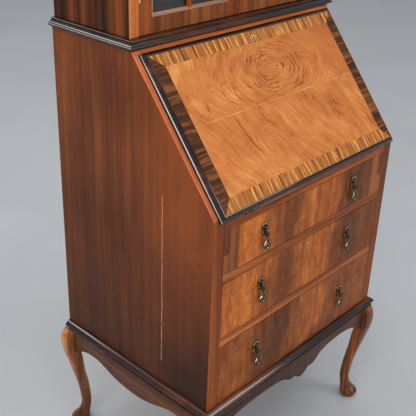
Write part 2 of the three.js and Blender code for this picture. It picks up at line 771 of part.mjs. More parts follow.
// The cornice and the top board are one glued-up piece, with the frieze that hangs in front.
const CORNICE_PROFILE = [
  [0, 0],
  [1.5, 0.6],
  [1.5, 5],
  [4, 6.5],
  [6, 10],
  [10, 15],
  [17, 20],
  [19, 24],
  [19, 28],
  [22.5, 30],
  [24.5, 34],
  [24.5, 40],
  [23, 42],
  [-20, CORNICE_HEIGHT],
];

function cornice() {
  const profile = CORNICE_PROFILE.map(([out, z]) => [out, BOOKCASE_TOP_Z + z]);
  const frieze = block(
    both(DOOR_HALF - GAP),
    [BOOKCASE_FRONT_Y, CARCASE_Y[0]],
    [FRIEZE_Z, BOOKCASE_TOP_Z + 1],
  );
  const moulded = toSolid(mouldedBoard(profile, BOOKCASE_HALF, BOOKCASE_FRONT_Y));
  return toGeometry(moulded.add(frieze));
}

const DOOR_Z = [WAIST_Z + 1.2, FRIEZE_Z - 1.2];
const DOOR_X = [DRAWER_GAP, DOOR_HALF - DRAWER_GAP];
const LIGHT_X = [DOOR_FRAME, DOOR_X[1] - DOOR_FRAME];
const LIGHT_Z = [DOOR_Z[0] + DOOR_FRAME - 1, DOOR_Z[1] - DOOR_TOP_RAIL];
const REBATE = 7;
const GLAZING_BAR_SETBACK = 3;
const GLASS_Y = BOOKCASE_FRONT_Y + 10.7;
const grow = ([a, b], amount) => [a - amount, b + amount];

function door() {
  const back = BOOKCASE_FRONT_Y + DOOR_THICKNESS;
  const slab = block(DOOR_X, [BOOKCASE_FRONT_Y, back], DOOR_Z);
  const light = block(LIGHT_X, [BOOKCASE_FRONT_Y - PAST, back + PAST], LIGHT_Z);
  const rebate = block(grow(LIGHT_X, REBATE), [GLASS_Y - GAP, back + PAST], grow(LIGHT_Z, REBATE));
  const frame = slab.subtract(light).subtract(rebate);
  const barY = [BOOKCASE_FRONT_Y + GLAZING_BAR_SETBACK, GLASS_Y - GAP];
  const middle = (LIGHT_X[0] + LIGHT_X[1]) / 2;
  const upright = [middle - GLAZING_BAR / 2, middle + GLAZING_BAR / 2];
  let glazed = frame.add(block(upright, barY, grow(LIGHT_Z, 2)));
  for (const shelfHeight of SHELF_HEIGHTS) {
    const z = WAIST_Z + shelfHeight;
    glazed = glazed.add(block(grow(LIGHT_X, 2), barY, [z - GLAZING_BAR / 2, z + GLAZING_BAR / 2]));
  }
  return toGeometry(glazed);
}

function glassPane() {
  const margin = REBATE - 1;
  return box(grow(LIGHT_X, margin), [GLASS_Y, GLASS_Y + GLASS_THICKNESS], grow(LIGHT_Z, margin));
}

const SHELF_THICKNESS = 15;
const SHELF_SETBACK = 10;
const BOOKCASE_BACK_Z = [WAIST_Z, BOOKCASE_TOP_Z - GAP];
const BOOKCASE_BOTTOM_Z = [WAIST_Z, WAIST_Z + 17];

function shelf(height) {
  const z = WAIST_Z + height;
  const y = [CARCASE_Y[0] + SHELF_SETBACK, CARCASE_Y[1]];
  return box(both(DOOR_HALF - GAP), y, [z - SHELF_THICKNESS, z]);
}

addPair("bookcase_side", bookcaseSide(), SIDE_WALNUT);
add("bookcase_back", box(both(DOOR_HALF - GAP), [BACK_Y, DEPTH], BOOKCASE_BACK_Z), OAK);
add("bookcase_bottom", box(both(DOOR_HALF - GAP), CARCASE_Y, BOOKCASE_BOTTOM_Z), RAIL_WALNUT);
add("cornice", cornice(), EBONISED);
add("shelf_lower", shelf(SHELF_HEIGHTS[0]), RAIL_WALNUT);
add("shelf_upper", shelf(SHELF_HEIGHTS[1]), RAIL_WALNUT);
addPair("door", door(), DRAWER_WALNUT);
addPair("door_glass", glassPane(), GLASS);

// ---------------------------------------------------------------- onto the floor

const bureauBookcase = new THREE.Group();
carcase.position.set(0, -DEPTH / 2, STAND_HEIGHT);
bureauBookcase.add(carcase);

export default bureauBookcase;
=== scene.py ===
"""Looks for a bureau bookcase: a slope-fronted bureau on cabriole legs with a glazed bookcase above.

Shapes are given in the carcase frame, in millimetres: x = 0 in the middle, y = 0 on the carcase front
with y growing backwards, z = 0 at the carcase bottom. Pieces of the fall use slope coordinates: x, s up
the slope from the carcase front, n out from the slope. at() and on_slope() turn both into metres.
"""

import json
import math

import bmesh
import bpy
from mathutils import Matrix, Vector


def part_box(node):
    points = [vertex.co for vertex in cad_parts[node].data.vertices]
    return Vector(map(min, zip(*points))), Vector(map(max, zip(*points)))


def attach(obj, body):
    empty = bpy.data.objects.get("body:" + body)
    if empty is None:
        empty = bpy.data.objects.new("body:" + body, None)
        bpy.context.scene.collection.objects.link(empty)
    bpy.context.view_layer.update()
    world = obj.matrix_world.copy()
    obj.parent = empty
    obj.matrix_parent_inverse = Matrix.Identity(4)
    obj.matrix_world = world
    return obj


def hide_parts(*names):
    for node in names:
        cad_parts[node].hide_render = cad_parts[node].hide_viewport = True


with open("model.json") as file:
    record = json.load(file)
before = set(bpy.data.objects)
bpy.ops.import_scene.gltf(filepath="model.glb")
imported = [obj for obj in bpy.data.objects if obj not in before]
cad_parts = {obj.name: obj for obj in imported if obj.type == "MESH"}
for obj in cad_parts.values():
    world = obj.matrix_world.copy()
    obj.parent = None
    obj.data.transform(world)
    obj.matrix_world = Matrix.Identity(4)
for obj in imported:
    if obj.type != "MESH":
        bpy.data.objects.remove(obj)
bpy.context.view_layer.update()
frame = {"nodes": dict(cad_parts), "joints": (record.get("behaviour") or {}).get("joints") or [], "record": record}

# ---------------------------------------------------------------- places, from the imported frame

MM = 0.001
NEAR = 1e-6
side_low, side_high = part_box("bureau_side_left")
side_corners = [v.co for v in frame["nodes"]["bureau_side_left"].data.vertices]
STAND = side_low.z / MM
HALF_WIDTH = -side_low.x / MM
DEPTH = (side_high.y - side_low.y) / MM
BUREAU_TOP = side_high.z / MM - STAND
SLOPE_LOW = max(c.z for c in side_corners if c.y < side_low.y + NEAR) / MM - STAND
SLOPE_RUN = min(c.y for c in side_corners if c.z > side_high.z - NEAR) / MM + DEPTH / 2
SLOPE_ANGLE = math.atan2(BUREAU_TOP - SLOPE_LOW, SLOPE_RUN)
SLOPE_LENGTH = math.hypot(BUREAU_TOP - SLOPE_LOW, SLOPE_RUN)
SIDES = (("left", -1), ("right", 1))


def at(x, y, z):
    """A point of the carcase frame, in the row frame's metres."""
    return Vector((x, y - DEPTH / 2, z + STAND)) * MM


def on_slope(x, s, n):
    """A point in slope coordinates, in the row frame's metres."""
    y = s * math.cos(SLOPE_ANGLE) - n * math.sin(SLOPE_ANGLE)
    z = SLOPE_LOW + s * math.sin(SLOPE_ANGLE) + n * math.cos(SLOPE_ANGLE)
    return at(x, y, z)


def limits(node):
    """A CAD node's limits along x, y and z, in the carcase frame."""
    low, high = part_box(node)
    return (
        (low.x / MM, high.x / MM),
        (low.y / MM + DEPTH / 2, high.y / MM + DEPTH / 2),
        (low.z / MM - STAND, high.z / MM - STAND),
    )


# ---------------------------------------------------------------- material graphs


def linear(value):
    """A 0 to 255 sRGB value as a linear one, 0 to 1."""
    share = value / 255
    return share / 12.92 if share <= 0.04045 else ((share + 0.055) / 1.055) ** 2.4


def srgb(red, green, blue):
    return (linear(red), linear(green), linear(blue), 1.0)


class Signal:
    """An output in a material's node tree. Sums with it add the nodes that work them out."""

    def __init__(self, graph, socket):
        self.graph = graph
        self.socket = socket

    def combine(self, operation, other=0.0):
        kind = "VectorMath" if self.socket.type == "VECTOR" else "Math"
        return self.graph.add(kind, {0: self, 1: other}, operation=operation)

    def __add__(self, other):
        return self.combine("ADD", other)

    def __sub__(self, other):
        return self.combine("SUBTRACT", other)

    def __rsub__(self, number):
        return self.graph.add("Math", {0: number, 1: self}, operation="SUBTRACT")

    def __mul__(self, other):
        return self.combine("MULTIPLY", other)

    def __abs__(self):
        return self.combine("ABSOLUTE")

    def length(self):
        return self.graph.add("VectorMath", {0: self}, "Value", operation="LENGTH")

    def split(self):
        parts = self.graph.add("SeparateXYZ", {0: self}).socket.node.outputs
        return [Signal(self.graph, part) for part in parts]

    def remap(self, low, high, to_low=0.0, to_high=1.0):
        return self.graph.add("MapRange", {0: self, 1: low, 2: high, 3: to_low, 4: to_high})

    def spread(self, low, high):
        """The usual range of a noise, from 0.35 to 0.65, brought to low and high."""
        return self.remap(0.35, 0.65, low, high)

    def ramp(self, stops):
        """A colour ramp. Each stop is a place with an sRGB triple or a grey level."""
        made = self.graph.add("ValToRGB", {0: self})
        elements = made.socket.node.color_ramp.elements
        while len(elements) < len(stops):
            elements.new(0.5)
        for element, (place, colour) in zip(elements, stops):
            element.position = place
            element.color = srgb(*colour) if isinstance(colour, tuple) else (colour, colour, colour, 1)
        return made


class Graph:
    """A node material under construction. Inputs are signals or plain values."""

    def __init__(self, name):
        self.material = bpy.data.materials.new(name)
        self.material.use_nodes = True
        self.tree = self.material.node_tree

    def put(self, socket, value):
        if isinstance(value, Signal):
            self.tree.links.new(value.socket, socket)
        else:
            socket.default_value = value

    def add(self, kind, inputs, output=0, **settings):
        """One output of a new node. inputs and output go by the sockets' names or numbers."""
        node = self.tree.nodes.new("ShaderNode" + kind)
        for key, value in settings.items():
            setattr(node, key, value)
        for key, value in inputs.items():
            self.put(node.inputs[key], value)
        return Signal(self, node.outputs[output])

    def join(self, x, y, z=0.0):
        return self.add("CombineXYZ", {0: x, 1: y, 2: z})

    def position(self, tilt=0.0):
        """Metres in the row frame, or slope coordinates in metres where tilt is the slope's angle."""
        place = self.add("TexCoord", {}, "Object")
        if not tilt:
            return place
        moved = place - on_slope(0, 0, 0)
        return self.add("VectorRotate", {"Vector": moved, "Angle": -tilt}, rotation_type="X_AXIS")

    def noise(self, vector, scale=1.0, detail=2.0, roughness=0.5, output=0):
        inputs = {"Vector": vector, "Scale": scale, "Detail": detail, "Roughness": roughness}
        return self.add("TexNoise", inputs, output)

    def mix(self, share, a, b, blend="MIX"):
        return self.add("Mix", {0: share, 6: a, 7: b}, 2, data_type="RGBA", blend_type=blend)

    def tint(self, share, colour, other):
        """colour with a share of another one, an sRGB triple, mixed in."""
        return self.mix(share, colour, srgb(*other))

    def shade(self, colour, level):
        """colour multiplied by one number."""
        return self.mix(1.0, colour, self.join(level, level, level), "MULTIPLY")

    def bump(self, height, distance, strength):
        return self.add("Bump", {"Height": height, "Distance": distance, "Strength": strength})

    def finish(self, colour, roughness, normal=None, **shader_values):
        inputs = self.tree.nodes["Principled BSDF"].inputs
        self.put(inputs["Base Color"], colour)
        self.put(inputs["Roughness"], roughness)
        if normal:
            self.put(inputs["Normal"], normal)
        for key, value in shader_values.items():
            self.put(inputs[key.replace("_", " ")], value)
        return self.material


AXES = {"x": 0, "y": 1, "z": 2}
POLISH = {"Coat_Weight": 0.05, "Coat_Roughness": 0.1, "Specular_IOR_Level": 0.13}
SATIN = {"Coat_Weight": 0.15, "Coat_Roughness": 0.1, "Specular_IOR_Level": 0.25}
GLOSS = {"Coat_Weight": 0.8, "Coat_Roughness": 0.08, "Specular_IOR_Level": 0.06}
DULL = {"Coat_Weight": 0.08, "Coat_Roughness": 0.3}
GRAIN_RELIEF = 0.00012


def stretched(place, grain, along, across):
    """Coordinates scaled by along down the grain and by across the other two ways."""
    scale = [across] * 3
    scale[AXES[grain]] = along
    return place * tuple(scale)


def grain_pattern(graph, place, grain, width=1.0, wander=0.012):
    """Streaks, broad bands, slow tone and pores of plain wood, each about 0 to 1."""
    push = (graph.noise(stretched(place, grain, 2.4, 7)) - 0.5) * (wander * 2)
    bent = place + graph.join(push, push, push)
    streak = graph.noise(stretched(bent, grain, 2.2, 95 / width), detail=5, roughness=0.62)
    band = graph.noise(stretched(bent, grain, 1.3, 20 / width))
    tone = graph.noise(stretched(place, grain, 2.0, 5.0))
    pores = graph.noise(stretched(bent, grain, 70, 1300), detail=1)
    return streak, band, tone, pores.remap(0.6, 0.7)


def wood(
    name, dark, mid, light, grain="z", width=1.0, tone_change=0.35, gloss=0.34,
    tilt=0.0, polish=POLISH, foot_dark_and_shade=1.0,
):
    """Polished straight-grained wood in three sRGB triples. A foot factor below 1 darkens it towards the floor:
    the feet's own darker colour together with painted shade on the lower leg.
    """
    graph = Graph(name)
    place = graph.position(tilt)
    streak, band, tone, pores = grain_pattern(graph, place, grain, width)
    colour = (streak * 0.5 + band * 0.5).ramp([(0.36, dark), (0.5, mid), (0.63, light)])
    level = tone.spread(1 - tone_change, 1 + tone_change * 0.6)
    # Painted shade: darker towards the floor, together with the feet's own darker colour.
    if foot_dark_and_shade < 1:
        level = level * place.split()[2].remap(0.04, STAND * MM * 0.8, foot_dark_and_shade, 1.0)
    colour = graph.shade(colour, level)
    colour = graph.tint(pores * 0.5, colour, [v * 0.45 for v in dark])
    roughness = graph.noise(place, 22, 3).spread(gloss - 0.05, gloss + 0.08)
    return graph.finish(colour, roughness, graph.bump(streak * 0.5 - pores, GRAIN_RELIEF, 0.5), **polish)


# Darkening of the sides by height, from the floor up: partly the wood's own darker lower part, partly painted
# shade that leaves the top lighter.
SIDE_DOWNWARD_DARK_AND_SHADE = [(0, 0.44), (0.3, 0.7), (0.65, 1.0), (1, 1.15)]
CRACK_Y = 137
CRACK_Z = (57, 455)


def crack_line(graph, place):
    """1 along the hairline crack in the left side, else 0."""
    x, y, z = place.split()
    low, high = (at(0, CRACK_Y, end) for end in CRACK_Z)
    sway = graph.noise(place * (0, 0, 16), detail=4) - 0.5
    line = abs(y - low.y + sway * 0.007).remap(0.0004, 0.001, 1.0, 0.0)
    inside = z.combine("GREATER_THAN", low.z) * z.combine("LESS_THAN", high.z)
    return line * inside * x.combine("LESS_THAN", 0.0)


def side_wood():
    """The bureau's sides: vertical walnut with one hairline crack. It darkens downwards, partly its own colour and
    partly painted shade, and has a painted glow of light at its upper front.
    """
    graph = Graph("side_walnut")
    place = graph.position()
    x, y, z = place.split()
    streak, band, tone, pores = grain_pattern(graph, place, "z", 1.2)
    colour = (streak * 0.6 + band * 0.4).ramp(
        [(0.34, (81, 40, 17)), (0.47, (97, 48, 23)), (0.58, (109, 57, 27)), (0.68, (122, 67, 33))]
    )
    # Painted light: an orange glow painted onto the upper front of the side.
    painted_front_glow = y.remap(-0.02, -0.16) * z.remap(0.42, 0.7)
    colour = graph.tint(painted_front_glow * 0.45, colour, (156, 78, 32))
    patches = graph.noise(place * (3, 6, 4), detail=4, roughness=0.6)
    colour = graph.shade(colour, patches.spread(0.8, 1.2) * z.remap(0.32, 1.04).ramp(SIDE_DOWNWARD_DARK_AND_SHADE))
    corner = y.remap(-0.06, -0.16) * z.remap(0.52, 0.38) * patches.remap(0.6, 0.4, 0.5, 1.0)
    colour = graph.tint(corner * 0.8, colour, (46, 24, 14))
    colour = graph.tint(pores * 0.4, colour, (34, 18, 12))
    line = crack_line(graph, place)
    broken = graph.noise(graph.join(0.0, 0.0, z * 60)).remap(0.35, 0.55, 0.3, 0.9)
    colour = graph.tint(line * broken, colour, (232, 158, 112))
    roughness = graph.noise(place, 14, 3).spread(0.3, 0.44)
    height = streak * 0.5 - (pores + line)
    return graph.finish(colour, roughness, graph.bump(height, GRAIN_RELIEF, 0.5), **POLISH)


def ribbon_wood():
    """The bookcase sides: strongly striped vertical walnut."""
    graph = Graph("ribbon_walnut")
    place = graph.position()
    streak, band, tone, pores = grain_pattern(graph, place, "z", 1.0, 0.006)
    stripe = graph.noise(place * (1, 36, 0.5), detail=2.5, roughness=0.55)
    colour = (stripe * 0.75 + streak * 0.25).ramp(
        [(0.36, (44, 23, 13)), (0.46, (72, 37, 19)), (0.55, (106, 53, 24)), (0.66, (132, 68, 31))]
    )
    colour = graph.shade(colour, tone.spread(0.75, 1.15))
    colour = graph.tint(pores * 0.4, colour, (30, 16, 10))
    return graph.finish(colour, 0.34, graph.bump(streak * 0.5 - pores, GRAIN_RELIEF, 0.5), **POLISH)


# Veneer of the drawer fronts: brightness at places across the front, and where its leaves meet.
DRAWER_TONES = [
    (-275, 1.02),
    (-200, 1.1),
    (-132, 0.94),
    (-112, 0.5),
    (-66, 0.46),
    (-46, 0.8),
    (-10, 0.94),
    (40, 0.86),
    (76, 0.88),
    (92, 0.42),
    (150, 0.33),
    (205, 0.36),
    (275, 0.34),
]
DRAWER_LEAF_JOINTS = (-38, 62)


def drawer_tone(across):
    """Brightness across the drawer fronts, from DRAWER_TONES."""
    half = DRAWER_TONES[-1][0]
    stops = [((middle + half) / (2 * half), level) for middle, level in DRAWER_TONES]
    return across.remap(-half * MM, half * MM).ramp(stops)


def drawer_wood():
    """Matched veneer that runs down all three drawer fronts, with dark feathers and paler leaves. The bottom
    drawer has painted shade on its left and middle and painted light on its right.
    """
    graph = Graph("drawer_walnut")
    place = graph.position()
    x, y, z = place.split()
    sway = graph.noise(place * (8, 8, 5), detail=3) - 0.5
    fine_sway = graph.noise(place, 34, 3) - 0.5
    tone = drawer_tone(x + (sway * 0.15 + fine_sway * 0.022) - (z - 0.55) * 0.05)
    streak, band, slow, pores = grain_pattern(graph, place, "z", 1.0, 0.03)
    mottle = graph.noise(place * (48, 48, 20), detail=4, roughness=0.7)
    hatch = graph.noise(graph.join(x - z * 0.6, 0.0, z) * (420, 1, 50), roughness=0.6)
    value = streak * 0.15 + band * 0.2 + mottle * 0.35 + hatch * 0.3
    colour = value.ramp([(0.4, (122, 60, 20)), (0.5, (174, 92, 33)), (0.6, (214, 124, 52))])
    # Painted shade and light on the bottom drawer: darker at its left and middle, lighter at its right.
    bottom_drawer_light_and_shade = x.remap(-0.25, 0.25).ramp([(0, 0.26), (0.5, 0.3), (0.8, 0.7), (1, 0.7)]) * 2.0
    lower = z.remap(0.5, 0.48) * (bottom_drawer_light_and_shade - 1.0)
    colour = graph.mix(1.0, colour, tone, "MULTIPLY")
    colour = graph.shade(colour, slow.spread(0.85, 1.12) * (lower + 1.0))
    wander = sway * 0.06 + fine_sway * 0.008
    for joint_x in DRAWER_LEAF_JOINTS:
        line = abs(x + wander - joint_x * MM).remap(0.0004, 0.0012, 0.6, 0.0)
        colour = graph.tint(line, colour, (62, 30, 14))
    colour = graph.tint(pores * 0.45, colour, (60, 28, 12))
    roughness = graph.noise(place, 18, 3).spread(0.26, 0.4)
    return graph.finish(colour, roughness, graph.bump(streak * 0.4 - pores, 0.0001, 0.45), **POLISH)


# The fall's figure, in x and s: rings round a swirl, knots [x, s, width, height], lines that slant
# down [x at the bottom, x and s at the top], the joint between two leaves, and worm holes.
SWIRL = (13, 238)
SWIRL_STRETCH = 1.7
SWIRL_RINGS = (6, 12, 17, 24, 29, 36, 43, 52, 63)
KNOTS = [
    (-128, 214, 30, 34),
    (-112, 210, 18, 22),
    (-204, 206, 11, 17),
    (196, 190, 34, 20),
    (150, 236, 16, 12),
]
SLANT_LINES = [(-80, -152, 170), (35, -72, 156), (120, 60, 120)]
JOINT_S = 174
JOINT_BLEND = 12
WORM_HOLES = [(111, 55), (98, 35)]


def thin_line(value, place, half_width, strength):
    """A line where value equals place, fading out over half_width."""
    return abs(value - place).remap(half_width * 0.35, half_width, strength, 0.0)


def swirl_figure(graph, flat, drift):
    """Distance from the swirl's middle, and the fine and coarse figure that runs round it."""
    swirl = (flat + drift - (SWIRL[0] * MM, SWIRL[1] * MM, 0)) * (1 / SWIRL_STRETCH, 1, 0)
    radius = swirl.length()
    swirl_x, swirl_s, swirl_n = swirl.split()
    turn = swirl_s.combine("ARCTAN2", swirl_x)
    fine = graph.noise(graph.join(radius * 240, turn * 2.6), detail=3, roughness=0.65)
    return radius, fine, graph.noise(graph.join(radius * 60, turn * 1.3))


def slanting_figure(graph, x, s, drift_x):
    """The fine and coarse figure that slants down the lower leaf."""
    lean = x * 0.88 + s * 0.47 + drift_x * 1.5
    along = s * 12 + x * -5
    fine = graph.noise(graph.join(lean * 240, along), detail=3, roughness=0.65)
    return fine, graph.noise(graph.join(lean * 50, along))


def dark_lines(graph, place, flat, radius, drift):
    """The dark rings, knots and slanting lines of the fall, as 0 to 1."""
    x, s, n = place.split()
    ragged = graph.noise(flat, 60, 3) * 0.012
    jagged = ragged + graph.noise(flat, 32, 3) * 0.03
    patchy = graph.noise(flat, 18).remap(0.4, 0.6)
    lines = [thin_line(radius + ragged, ring * MM, 0.0015, 0.9) * patchy for ring in SWIRL_RINGS]
    for knot_x, knot_s, wide, tall in KNOTS:
        away = flat + drift * (0.8, 0.8, 0) - (knot_x * MM, knot_s * MM, 0)
        outward = away.split()[0] * math.copysign(1, knot_x)
        away = (away * (1, wide / tall, 0)).length()
        line = thin_line(away + jagged, wide * MM + 0.015, 0.0019, 0.95)
        line = line * outward.remap(-0.3 * wide * MM, 0.3 * wide * MM)
        lines.append(line * patchy.remap(0.0, 1.0, 0.5, 1.0))
    for low_x, top_x, top_s in SLANT_LINES:
        run = x - (top_s * MM - s) * ((low_x - top_x) / top_s)
        run = run + (drift.split()[0] * 0.5 + ragged)
        line = thin_line(run, top_x * MM, 0.0018, 0.95) * s.combine("LESS_THAN", top_s * MM)
        lines.append(line * patchy)
    dark = 0.0
    for line in lines:
        dark = line.combine("MAXIMUM", dark)
    return dark


def field_wood():
    """The fall's burr field: rings round a swirl above, slanting figure below, and a joint between."""
    graph = Graph("burr_walnut")
    place = graph.position(SLOPE_ANGLE)
    x, s, n = place.split()
    flat = graph.join(x, s)
    broad = graph.noise(flat, 8.0, 4.0, output=1)
    drift = graph.add("VectorMath", {0: broad, 1: (0.5, 0.5, 0.5)}, operation="SUBTRACT") * (0.06, 0.06, 0)
    drift_x, drift_s, drift_n = drift.split()
    radius, around, coarse_around = swirl_figure(graph, flat, drift)
    slanted, coarse_slanted = slanting_figure(graph, x, s, drift_x)
    upper = (s + drift_s).remap((JOINT_S - JOINT_BLEND) * MM, (JOINT_S + JOINT_BLEND) * MM)
    fine = graph.mix(upper, slanted, around)
    coarse = graph.mix(upper, coarse_slanted, coarse_around)
    fibre = graph.noise(graph.join(x * 700 + s * -500, s * 160), roughness=0.6)
    cloud = graph.noise(flat * (8, 12, 0), detail=4, roughness=0.6)
    colour = (cloud * 0.3 + fine * 0.28 + coarse * 0.2 + fibre * 0.22).ramp(
        [(0.38, (133, 67, 27)), (0.46, (181, 104, 49)), (0.54, (199, 124, 64)), (0.63, (222, 157, 95))]
    )
    corner = x.remap(0.03, 0.24) * s.remap(0.13, 0.3)
    colour = graph.tint(corner * 0.75, colour, (164, 84, 32))
    dark = dark_lines(graph, place, flat, radius, drift)
    colour = graph.tint(dark, colour, (104, 50, 20))
    joint = abs(s - JOINT_S * MM).remap(0.0003, 0.0012, 1.0, 0.0)
    joint = joint * graph.noise(graph.join(x, 0.0), 18).remap(0.4, 0.6)
    colour = graph.tint(joint * 0.6, colour, (240, 186, 130))
    for hole_x, hole_s in WORM_HOLES:
        away = (flat - (hole_x * MM, hole_s * MM, 0)).length()
        colour = graph.tint(away.remap(0.0009, 0.0014, 1.0, 0.0), colour, (48, 24, 14))
    roughness = graph.noise(place, 16, 4).spread(0.27, 0.42)
    return graph.finish(colour, roughness, graph.bump(fine * 0.4 - dark, GRAIN_RELIEF, 0.4), **POLISH)


def band_wood(name, along_x, dark, mid, light, pitch):
    """Crossband veneer: bars of gold and brown that lie across the strip."""
    graph = Graph(name)
    place = graph.position(SLOPE_ANGLE)
    x, s, n = place.split()
    run, across = (x, s) if along_x else (s, x)
    run = run + graph.noise(place, 26) * 0.008
    bars = graph.noise(graph.join(run * (1 / pitch), across * 6), detail=2.5, roughness=0.65)
    fine = graph.noise(graph.join(run * 900, across * 40))
    colour = (bars * 0.8 + fine * 0.2).ramp([(0.38, dark), (0.46, mid), (0.52, mid), (0.59, light)])
    roughness = graph.noise(place, 16, 3).spread(0.27, 0.4)
    return graph.finish(colour, roughness, graph.bump(fine, 0.0001, 0.35), **POLISH)


def ebony_wood():
    """Ebonised mouldings: near black, with brown rubbed through where hands and dusters wear it."""
    graph = Graph("ebonised_walnut")
    place = graph.position()
    rub = graph.noise(place * (5, 5, 30), detail=3, roughness=0.6)
    fine = graph.noise(place, 420)
    colour = (rub * 0.8 + fine * 0.2).ramp([(0.42, (26, 13, 9)), (0.56, (46, 22, 13)), (0.7, (88, 42, 22))])
    return graph.finish(colour, rub.spread(0.16, 0.3), **GLOSS)


def brass(name, bright, dull, roughness_range, tarnish_scale, tarnish=(0.45, 0.6)):
    """Brass with tarnish in cloudy patches and fine casting or polishing marks."""
    graph = Graph(name)
    place = graph.position()
    cloud = graph.noise(place, tarnish_scale, 4, 0.6)
    colour = graph.mix(cloud.remap(*tarnish), srgb(*bright), srgb(*dull))
    marks = graph.bump(graph.noise(place, 1500), 0.00006, 0.35)
    return graph.finish(colour, cloud.spread(*roughness_range), marks, Metallic=1.0)


def leather():
    """A thin writing skin with pebbled grain and worn patches."""
    graph = Graph("writing_leather")
    place = graph.position(SLOPE_ANGLE)
    cells = {"Vector": place, "Scale": 750.0}
    pebble = graph.add("TexVoronoi", cells, "Distance", feature="DISTANCE_TO_EDGE")
    colour = graph.noise(place, 12, 4).ramp([(0.4, (46, 22, 16)), (0.62, (86, 40, 26))])
    grain = graph.bump(pebble.combine("MINIMUM", 0.25), 0.0002, 0.6)
    return graph.finish(colour, 0.48, grain, Specular_IOR_Level=0.4)


def window_glass():
    """Clear glass with a slight ripple and a little dust."""
    graph = Graph("window_glass")
    place = graph.position()
    ripple = graph.bump(graph.noise(place, 9), 0.0006, 0.3)
    roughness = graph.noise(place, 60, 3).remap(0.4, 0.7, 0.0, 0.06)
    return graph.finish(srgb(236, 242, 240), roughness, ripple, Transmission_Weight=1.0, IOR=1.5)


def plain(name, dark, light, roughness, scale, detail=3):
    """Two close colours in soft clouds."""
    graph = Graph(name)
    cloud = graph.noise(graph.position(), scale, detail)
    return graph.finish(graph.mix(cloud, srgb(*dark), srgb(*light)), roughness)


SIDE = side_wood()
RIBBON = ribbon_wood()
STILE = wood("stile_walnut", (90, 40, 13), (120, 58, 21), (143, 76, 32), "z", 0.7)
EDGE = wood("edge_walnut", (171, 89, 40), (200, 114, 57), (214, 133, 77), "z", 1.2, 0.2)
LIP = wood("lipping_walnut", (158, 80, 46), (196, 106, 64), (222, 136, 90), "y", 0.7, 0.25, tilt=SLOPE_ANGLE)
BEVEL = wood("top_bevel_walnut", (194, 98, 44), (226, 126, 60), (242, 154, 84), "x", 1.2, 0.2)
RAIL = wood("rail_walnut", (86, 40, 15), (146, 73, 30), (194, 114, 62), "x", 0.4)
DIVIDER = wood("divider_walnut", (120, 64, 33), (152, 88, 49), (171, 109, 68), "z", 0.7, 0.2)
LOPER = wood("loper_walnut", (78, 38, 24), (112, 58, 36), (138, 76, 48), "z", 0.7)
DRAWER = drawer_wood()
FIELD = field_wood()
BAND = band_wood("crossband_gold", True, (94, 49, 19), (159, 95, 42), (216, 149, 81), 0.0085)
BAND_SIDE = band_wood("crossband_brown", False, (49, 25, 9), (75, 40, 16), (126, 76, 34), 0.009)
EBONY = ebony_wood()
APRON = wood("apron_walnut", (48, 26, 17), (72, 40, 25), (98, 56, 34), "x", 1.0)
APRON_SIDE = wood("side_apron_walnut", (54, 28, 17), (80, 44, 26), (108, 62, 36), "y", 1.0)
# Stand walnut: knees lighter and feet darker, partly the wood's own colour and partly painted light and shade.
LEG = wood(
    "leg_walnut", (58, 30, 15), (151, 83, 39), (228, 146, 79), "z", 0.8, 0.4, 0.24,
    polish=SATIN, foot_dark_and_shade=0.35,
)
DOOR_RAIL = wood("door_rail_walnut", (88, 46, 21), (122, 66, 31), (150, 88, 44), "z", 0.35, 0.1)
DOOR_STILE = wood("door_stile_walnut", (89, 39, 13), (136, 66, 25), (167, 90, 39), "z", 1.0, 0.25)
SIGHT = wood("sight_walnut", (120, 84, 66), (156, 116, 94), (186, 148, 124), "x", 1.0, 0.2)
OAK_X = wood("oak_along", (150, 104, 58), (178, 130, 78), (198, 152, 98), "x", 1.0, 0.15, 0.5, polish=DULL)
OAK_Y = wood("oak_deep", (146, 100, 56), (174, 126, 75), (194, 148, 95), "y", 1.0, 0.15, 0.5, polish=DULL)
OAK_END = wood("oak_end_grain", (98, 64, 34), (124, 84, 46), (144, 102, 60), "z", 0.7, 0.15, 0.6, polish=DULL)
INNER = wood(
    "pigeonhole_walnut", (104, 62, 34), (138, 88, 50), (164, 110, 66), "y", 1.0, 0.2, 0.42, polish=DULL
)
INNER_FACE = wood(
    "fall_inside_walnut", (112, 64, 34), (150, 92, 50), (178, 116, 68), "x", 1.2, 0.2, tilt=SLOPE_ANGLE
)
BACK = wood("back_board", (78, 50, 31), (104, 70, 44), (128, 90, 58), "z", 1.2, 0.3, 0.62, polish=DULL)
CASE_INSIDE = wood("case_inside", (88, 54, 32), (114, 72, 44), (138, 92, 58), "x", 1.0, 0.2, 0.5, polish=DULL)
CASE_BACK = wood("case_back", (78, 50, 31), (104, 70, 44), (128, 90, 58), "z", 1.2, 0.3, 0.6, polish=DULL)
BRASS = brass("lacquered_brass", (250, 222, 150), (196, 156, 92), (0.34, 0.52), 60)
BRONZE = brass("antique_brass", (104, 88, 68), (36, 27, 20), (0.34, 0.52), 260, (0.42, 0.58))
# Paler bronze of the proud relief on the handles: partly real wear, partly painted highlight on the ridges.
WORN_HIGHLIT_BRONZE = brass("worn_highlit_antique_brass", (176, 158, 130), (92, 74, 54), (0.26, 0.42), 300, (0.45, 0.62))
OLD_BRASS = brass("aged_brass", (120, 88, 48), (62, 42, 24), (0.4, 0.55), 90)
GILT = brass("gilt_tooling", (222, 176, 92), (150, 110, 50), (0.35, 0.5), 300)
LEATHER = leather()
GLASS = window_glass()
# Painted shadow: the dark plate that stands in for the shade inside a keyhole.
KEYHOLE_SHADOW = plain("keyhole_painted_shadow", (18, 11.7, 9), (20, 13, 10), 0.8, 30)
FLOOR = plain("floor", (162, 163, 165), (176, 177, 179), 0.55, 2.2, 4)

# ---------------------------------------------------------------- mesh helpers


def link(name, data):
    """A new object in the scene."""
    made = bpy.data.objects.new(name, data)
    bpy.context.scene.collection.objects.link(made)
    return made


